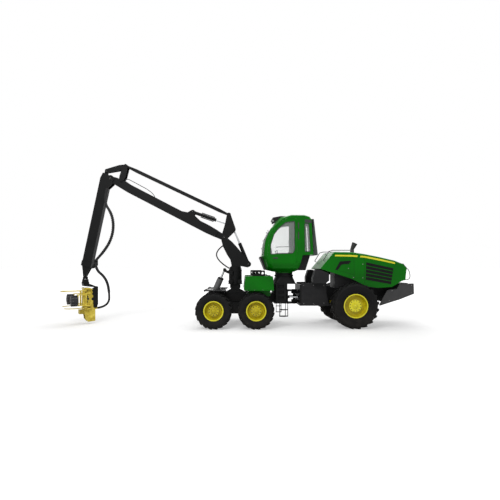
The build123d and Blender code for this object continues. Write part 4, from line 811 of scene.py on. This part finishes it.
for y_side in SIDES:
    frame_ring(seal, rounded(rear_side_outline, 30), 8, 12, y_side * seal_inner, y_side * seal_outer)
    pipe(seal, [(x, y_side * 656, z) for x, z in screen_edge], 13)
    plate(seal, rounded(corner_outline, 10), y_side * 749, y_side * seal_outer)
    for z_low, z_high in ((3215, 3485), (3600, 3830)):
        strip = rounded([(2304, z_low), (2304, z_high), (2346, z_high), (2346, z_low)], 12)
        plate(seal, strip, y_side * 749, y_side * 757)
    for x, z in ((1226, 3560), (1092, 3240), (1036, 2930)):
        rod(seal, (x + 16, y_side * 380, z - 8), (x - 8, y_side * 380, z + 4), 22)
    lamp = form("cab", PLASTIC)
    low, high = on_side(y_side, 250, 385)
    plate(lamp, rounded(lamp_outline, 12), low, high)
    plate(form("cab", LAMP, "clear_glass"), lens_outline, low + 8, high - 8)
# Guard behind the cab: cross bars that follow its lean
guard = form("cab", GREY, "grey_paint")
for step in range(9):
    z = 2760 + 130 * step
    x = 3062 - (z - 2640) * 0.112
    rod(guard, (x, -555, z), (x, 555, z), 9)

# Steps: stringers and treads of the ladder on the left
ladder = form("front_frame", BLACK)
for x in (1640, 1935):
    rod(ladder, (x, -705, 880), (x, -705, 385), 13)
for z in (374, 612):
    block(form("front_frame", GRIP), 1632, 1943, -719, -560, z, z + 22)

# Cab interior: the hard parts of the seat and the controls
seat_base_outline = [
    (1640, 2063), (1620, 2120), (1700, 2200), (1700, 2330), (1630, 2395),
    (2070, 2395), (2000, 2330), (2000, 2200), (2075, 2120), (2060, 2063),
]
arm_outline = [
    (1545, 2650), (1545, 2712), (1640, 2722), (2070, 2722), (2080, 2690), (2080, 2655), (1990, 2644),
]
support_outline = [(1905, 2482), (1905, 2655), (2095, 2655), (2095, 2482)]
screen_outline = [(1345, 2700), (1325, 2890), (1350, 2895), (1372, 2702)]
hard = form("cab", PLASTIC, "seat_plastic")
plate(hard, rounded(seat_base_outline, 20), -225, 225)
for step in range(5):
    block(hard, 1668 + 4 * step, 2036 - 4 * step, -232, 232, 2205 + 24 * step, 2217 + 24 * step)
for y_side in SIDES:
    plate(hard, rounded(arm_outline, 18), *on_side(y_side, 254, 378))
    plate(hard, rounded(support_outline, 30), *on_side(y_side, 262, 298))
    rod(hard, (1590, y_side * 320, 2715), (1590, y_side * 320, 2740), 34, 24, 20)
    rod(hard, (1590, y_side * 320, 2738), (1584, y_side * 320, 2790), 11)
    rod(hard, (1585, y_side * 320, 2785), (1578, y_side * 320, 2828), 17, 20, 22)
    for x in (1700, 1740, 1780):
        for y in (290, 330):
            rod(hard, (x, y_side * y, 2720), (x, y_side * y, 2728), 9)
plate(hard, rounded(screen_outline, 8), -560, -330)
rod(hard, (1370, -440, 2700), (1450, -440, 2120), 16)
rod(hard, (1450, -440, 2130), (1450, -440, 2063), 40, 24)


def cushion(name, body, centre, length, width, depth, tilt, channels):
    """A crowned pad whose sides pull in between its corners, with sewn channels and a piped seam."""
    mesh = bmesh.new()
    count = 40
    pull_in = 0.035
    lean, middle = math.radians(tilt), Vector(at(*centre))

    def placed(x, y, z):
        """A point of the pad, leaned about the Y axis and moved to its place."""
        return (
            middle.x + (x * math.cos(lean) - z * math.sin(lean)) / 1000,
            middle.y + y / 1000,
            middle.z + (x * math.sin(lean) + z * math.cos(lean)) / 1000,
        )

    def spread(u, v):
        """The place of a share of half the length and width, with the sides pulled in between the corners."""
        return length / 2 * u * (1 - pull_in * (1 - v * v)), width / 2 * v * (1 - pull_in * (1 - u * u))

    layers = []
    for face in (1, -1):
        rows = []
        for i in range(count + 1):
            u = 2 * i / count - 1
            row = []
            for j in range(count + 1):
                v = 2 * j / count - 1
                rim = math.sqrt(max(0.0, 1 - abs(u) ** 7) * max(0.0, 1 - abs(v) ** 7))
                crown = 1 + 0.22 * (1 - u * u) * (1 - v * v) if face > 0 else 0.9
                z = face * depth / 2 * rim ** 0.6 * crown / 1.22
                if face > 0:
                    for line in channels:
                        z -= 0.16 * depth * rim * math.exp(-(((u - line) / 0.035) ** 2))
                    z -= 0.10 * depth * rim * math.exp(-(((abs(v) - 0.72) / 0.03) ** 2))
                row.append(mesh.verts.new(placed(*spread(u, v), z)))
            rows.append(row)
        layers.append(rows)
    for rows in layers:
        for i in range(count):
            for j in range(count):
                mesh.faces.new((rows[i][j], rows[i + 1][j], rows[i + 1][j + 1], rows[i][j + 1]))
    bmesh.ops.remove_doubles(mesh, verts=mesh.verts, dist=0.0002)
    bmesh.ops.recalc_face_normals(mesh, faces=mesh.faces)
    data = finished(mesh, name)
    data.materials.append(CLOTH)
    pad = add_object(name, data, body)
    edge = [(u, -1) for u in (-1, -0.5, 0, 0.5, 1)] + [(1, v) for v in (-0.5, 0, 0.5, 1)]
    edge += [(u, 1) for u in (0.5, 0, -0.5, -1)] + [(-1, v) for v in (0.5, 0, -0.5)]
    welt = bmesh.new()
    points = [Vector(placed(*spread(u, v), 0)) for u, v in edge]
    for a, b in zip(points, points[1:] + points[:1]):
        axes = cross_axes((b - a).normalized())
        tube(welt, [round_loop(welt, end, 0.004, *axes, 8) for end in (a, b)])
    bmesh.ops.recalc_face_normals(welt, faces=welt.faces)
    data = finished(welt, name + "_welt")
    data.materials.append(PLASTIC)
    add_object(name + "_welt", data, body)
    return pad


seat = cushion("seat_cushion", "cab", (1872, 0, 2462), 536, 512, 118, 0, (-0.35, 0.2))
back = cushion("seat_back", "cab", (2142, 0, 2872), 730, 490, 84, 95, (-0.5, 0.0, 0.5))
for pad in (seat, back):
    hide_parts("cab_interior")

# Crane: end plates on the pins, and pipes along the boom
pin_rows = (
    # body, point, outer face, radius
    ("crane_column", (-442, 3331), 154.5, 44),
    ("crane_column", (502, 2306), 151.5, 34),
    ("rocker_arm", (-249, 4210), 99.5, 38),
    ("rocker_arm", (-59, 3652), 99.5, 42),
    ("rocker_arm", (-310, 3858), 99.5, 42),
    ("main_boom", (-1626, 4318), 111.5, 34),
    ("knee_strut", (-4386, 5537), 131.5, 34),
    ("knee_link", (-4966, 5885), 71.5, 34),
    ("jib", (-4792, 5588), 129.5, 62),
    ("jib_extension", (-5802, 1880), 99.5, 34),
)
for body, point, y_face, radius in pin_rows:
    pin_cap(body, point, y_face, radius)
pipe(
    form("main_boom", HOSE, "hose_rubber"),
    [(-4262, -60, 5440), (-4235, -60, 5640), (-3880, -60, 5455), (-3150, -60, 5060), (-3105, -60, 4890)],
    13,
)

# Crane: deeper webs over the link bar, the knee link and the knee strut
link_web = form("link_bar", BLACK)
run_start, run_end = Vector((-249, 4210)), Vector((-4211, 6094))
heading = (run_end - run_start).normalized()
above = Vector((-heading.y, heading.x))


def on_link(along, aside):
    """A point of the link bar, along it from the rocker arm and above its middle."""
    return tuple(run_start + heading * along + above * aside)


link_run = (run_end - run_start).length
link_outline = [
    on_link(60, -40), on_link(420, -64), on_link(link_run - 420, -64), on_link(link_run - 60, -40),
    on_link(link_run - 60, 40), on_link(link_run - 420, 62), on_link(420, 64), on_link(60, 40),
]
plate(link_web, link_outline, -44, 44)
knee_web = form("knee_link", BLACK)
knee_outline = [
    (-5035, 5900), (-5005, 5965), (-4463, 6128), (-4205, 6150),
    (-4150, 6095), (-4240, 6010), (-4480, 5905), (-4900, 5835),
]
strut_web = form("knee_strut", BLACK)
strut_outline = [
    (-4470, 5520), (-4330, 5466), (-4225, 5640), (-4120, 6060),
    (-4180, 6148), (-4262, 6130), (-4350, 5960), (-4440, 5700),
]
for y_side in SIDES:
    plate(knee_web, rounded(knee_outline, 30), *on_side(y_side, 50, 70))
    plate(strut_web, rounded(strut_outline, 30), *on_side(y_side, 110, 130))

# Tilt cylinders: wide jackets with dark caps over the barrels
tilt_start, tilt_end = Vector((-790, 0, 1225)), Vector((-415, 0, 2100))
tilt_way = (tilt_end - tilt_start).normalized()
side_pipe = Vector((-86, 0, 37))
for y_side in SIDES:
    foot = tilt_start + Vector((0, y_side * 260, 0))
    jacket = form("tilt_barrels", GREY, "grey_paint")
    rod(jacket, foot + tilt_way * 95, foot + tilt_way * 560, 104, 40)
    rod(jacket, foot + tilt_way * 80, foot + tilt_way * 96, 88, 40, 104)
    cap = form("tilt_barrels", BLACK)
    rod(cap, foot + tilt_way * 558, foot + tilt_way * 600, 110, 40)
    rod(cap, foot + tilt_way * 599, foot + tilt_way * 618, 70, 32)
    rod(cap, foot + tilt_way * 130 + side_pipe, foot + tilt_way * 540 + side_pipe, 22, 20)

# Fold cylinder: pipes beside its barrel
fold_start, fold_end = Vector((-1626, 0, 4318)), Vector((-310, 0, 3858))
fold_way = (fold_end - fold_start).normalized()
fold_up = Vector((-fold_way.z, 0, fold_way.x))
fold_pipes = form("fold_barrel", BLACK)
for aside in (84, -84):
    beside = fold_start + fold_up * aside
    rod(fold_pipes, beside + fold_way * 330, beside + fold_way * 860, 17, 16)

# Head: spikes and motors on the rollers
HEAD_X, HEAD_TURN = -5802, math.radians(34)


def head_at(x, y, z):
    """A point of the head, turned to its place under the rotator, in millimetres."""
    return (
        HEAD_X + x * math.cos(HEAD_TURN) - y * math.sin(HEAD_TURN),
        x * math.sin(HEAD_TURN) + y * math.cos(HEAD_TURN),
        z,
    )


def roller_at(x, radius, angle, y_side):
    """A point at a radius from a feed roller's axis."""
    return head_at(x, y_side * 440 + radius * math.cos(angle), 940 + radius * math.sin(angle))


roller_way = (-math.cos(HEAD_TURN), -math.sin(HEAD_TURN), 0)
for y_side, side_name in NAMED_SIDES:
    spikes = form(f"feed_roller_{side_name}", STEEL, "rod_chrome")
    dark = form(f"feed_roller_{side_name}", IRON)
    for step in range(12):
        angle = 2 * math.pi * step / 12
        for x in (-560, -517, -474, -431, -388):
            rod(spikes, roller_at(x, 198, angle, y_side), roller_at(x, 209, angle, y_side), 11, 4, 4)
    rod(dark, roller_at(-583, 0, 0, y_side), roller_at(-592, 0, 0, y_side), 150, 32)
    rod(dark, roller_at(-591, 0, 0, y_side), roller_at(-606, 0, 0, y_side), 78, 32)
    for step in range(8):
        bolt(spikes, roller_at(-591, 118, 2 * math.pi * step / 8, y_side), roller_way, 11)

# Head: dark discs of painted shade in the bores, ribs, a pivot and bolts on the frame's flanks
flank_rods = (
    # x, height, inner and outer distance from the middle, radius, sides
    # The first five rows are dark discs of painted shade set into the bores; the last two are the pivot
    (20, 1290, 120, 160, 33, 24),
    (20, 1060, 120, 160, 51, 24),
    (20, 860, 120, 160, 39, 24),
    (250, 1160, 100, 132, 43, 24),
    (250, 960, 100, 132, 59, 24),
    (60, 980, 168, 205, 40, 24),
    (60, 980, 204, 214, 26, 6),
)
flank_bolts = (
    (-60, 1330), (100, 1330), (-60, 1120), (110, 1120), (-60, 760), (110, 760), (-60, 600), (90, 640),
)
frame_iron_and_bore_shade = form("head_frame", IRON)
rib = form("head_frame", HEAD_YELLOW, "yellow_paint")
for y_side in SIDES:
    for x, z, inner, outer, radius, sides in flank_rods:
        rod(frame_iron_and_bore_shade, head_at(x, y_side * inner, z), head_at(x, y_side * outer, z), radius, sides)
    for x in (-80, 130):
        rod(rib, head_at(x, y_side * 170, 720), head_at(x, y_side * 170, 1170), 12, 12)
    outward = (-y_side * math.sin(HEAD_TURN), y_side * math.cos(HEAD_TURN), 0)
    for x, z in flank_bolts:
        bolt(frame_iron_and_bore_shade, head_at(x, y_side * 169, z), outward, 11)
    for z in (1391, 1215):
        rod(frame_iron_and_bore_shade, head_at(-40, y_side * 235, z), head_at(-40, y_side * 235, z + 12), 44, 6)

# Each body's fittings in one finish become one piece with small bevels
for body, finish in sorted(collections):
    mesh, _, material, slot = collections[(body, finish)]
    bmesh.ops.remove_doubles(mesh, verts=mesh.verts, dist=0.00001)
    bmesh.ops.recalc_face_normals(mesh, faces=mesh.faces)
    data = finished(mesh, f"{body}_{finish}")
    data.set_sharp_from_angle(angle=math.radians(38))
    data.materials.append(material)
    piece = add_object(f"{body}_fittings_{finish}", data, body)
    edge = piece.modifiers.new("edge", "BEVEL")
    edge.width = 0.0012
    edge.segments = 1
    edge.limit_method = "ANGLE"
    edge.angle_limit = math.radians(40)


# Stage: a pale floor that keeps the shadow, soft lamps and the photograph's camera
def seen_rays(tree):
    """One for the rays that show the background: camera, glossy and transmission."""
    light_path = tree.nodes.new("ShaderNodeLightPath")
    seen = light_path.outputs["Is Camera Ray"]
    for ray in ("Is Glossy Ray", "Is Transmission Ray"):
        either = tree.nodes.new("ShaderNodeMath")
        either.operation = "MAXIMUM"
        tree.links.new(seen, either.inputs[0])
        tree.links.new(light_path.outputs[ray], either.inputs[1])
        seen = either.outputs["Value"]
    return seen


def stage_material():
    """A pale floor whose unshaded part reaches the white of the backdrop."""
    material, tree, shader = new_material("stage_white")
    speck = place_noise(tree, 0.7)
    tint = ramp(tree, speck.outputs["Fac"], (0.62, 0.62, 0.62), (0.64, 0.64, 0.64))
    tree.links.new(tint.outputs["Color"], shader.inputs["Base Color"])
    shader.inputs["Roughness"].default_value = 0.95
    shader.inputs["Specular IOR Level"].default_value = 0.0
    place = tree.nodes.new("ShaderNodeTexCoord")
    distance = tree.nodes.new("ShaderNodeVectorMath")
    distance.operation = "LENGTH"
    tree.links.new(place.outputs["Object"], distance.inputs[0])
    spread = tree.nodes.new("ShaderNodeMapRange")
    spread.inputs["From Min"].default_value = 6.0
    spread.inputs["From Max"].default_value = 16.0
    spread.inputs["To Min"].default_value = 0.36
    spread.inputs["To Max"].default_value = 0.85
    tree.links.new(distance.outputs["Value"], spread.inputs["Value"])
    strength = tree.nodes.new("ShaderNodeMath")
    strength.operation = "MULTIPLY"
    tree.links.new(seen_rays(tree), strength.inputs[0])
    tree.links.new(spread.outputs["Result"], strength.inputs[1])
    shader.inputs["Emission Color"].default_value = (1, 1, 1, 1)
    tree.links.new(strength.outputs["Value"], shader.inputs["Emission Strength"])
    return material


floor_mesh = bpy.data.meshes.new("floor")
span, floor_z = 400.0, -0.001
floor_corners = [(x * span, y * span, floor_z) for x, y in ((-1, -1), (1, -1), (1, 1), (-1, 1))]
floor_mesh.from_pydata(floor_corners, [], [(0, 1, 2, 3)])
floor = bpy.data.objects.new("floor", floor_mesh)
bpy.context.scene.collection.objects.link(floor)
floor_mesh.materials.append(stage_material())

world = bpy.data.worlds.new("studio")
bpy.context.scene.world = world
world.use_nodes = True
tree = world.node_tree
background = tree.nodes["Background"]
background.inputs["Color"].default_value = (1, 1, 1, 1)
strength = tree.nodes.new("ShaderNodeMapRange")
strength.inputs["To Min"].default_value = 0.5
strength.inputs["To Max"].default_value = 1.0
tree.links.new(seen_rays(tree), strength.inputs["Value"])
tree.links.new(strength.outputs["Result"], background.inputs["Strength"])


def soft_lamp(name, place, target, size, power):
    """A large area lamp that faces a target."""
    data = bpy.data.lights.new(name, "AREA")
    data.size = size
    data.energy = power
    lamp = bpy.data.objects.new(name, data)
    bpy.context.scene.collection.objects.link(lamp)
    lamp.location = place
    lamp.rotation_euler = (Vector(target) - Vector(place)).to_track_quat("-Z", "Y").to_euler()


soft_lamp("key", (-4, -12, 12), (0, 0, 1.5), 8.0, 1250)
soft_lamp("top", (2, 2, 14), (0, 0, 1.5), 10.0, 900)
soft_lamp("back", (6, 12, 9), (0, 0, 1.5), 8.0, 400)

camera_data = bpy.data.cameras.new("camera")
camera_data.lens = 25.86
camera_data.sensor_width = 36
camera_data.shift_x = 0.02
camera_data.shift_y = 0.035
camera_data.clip_end = 900
camera = bpy.data.objects.new("camera", camera_data)
bpy.context.scene.collection.objects.link(camera)
camera.location = (0.240, -13.9, 2.178)
camera.rotation_euler = (math.pi / 2, 0, 0)
bpy.context.scene.camera = camera
bpy.context.scene.view_settings.view_transform = "Standard"

bpy.context.view_layer.update()
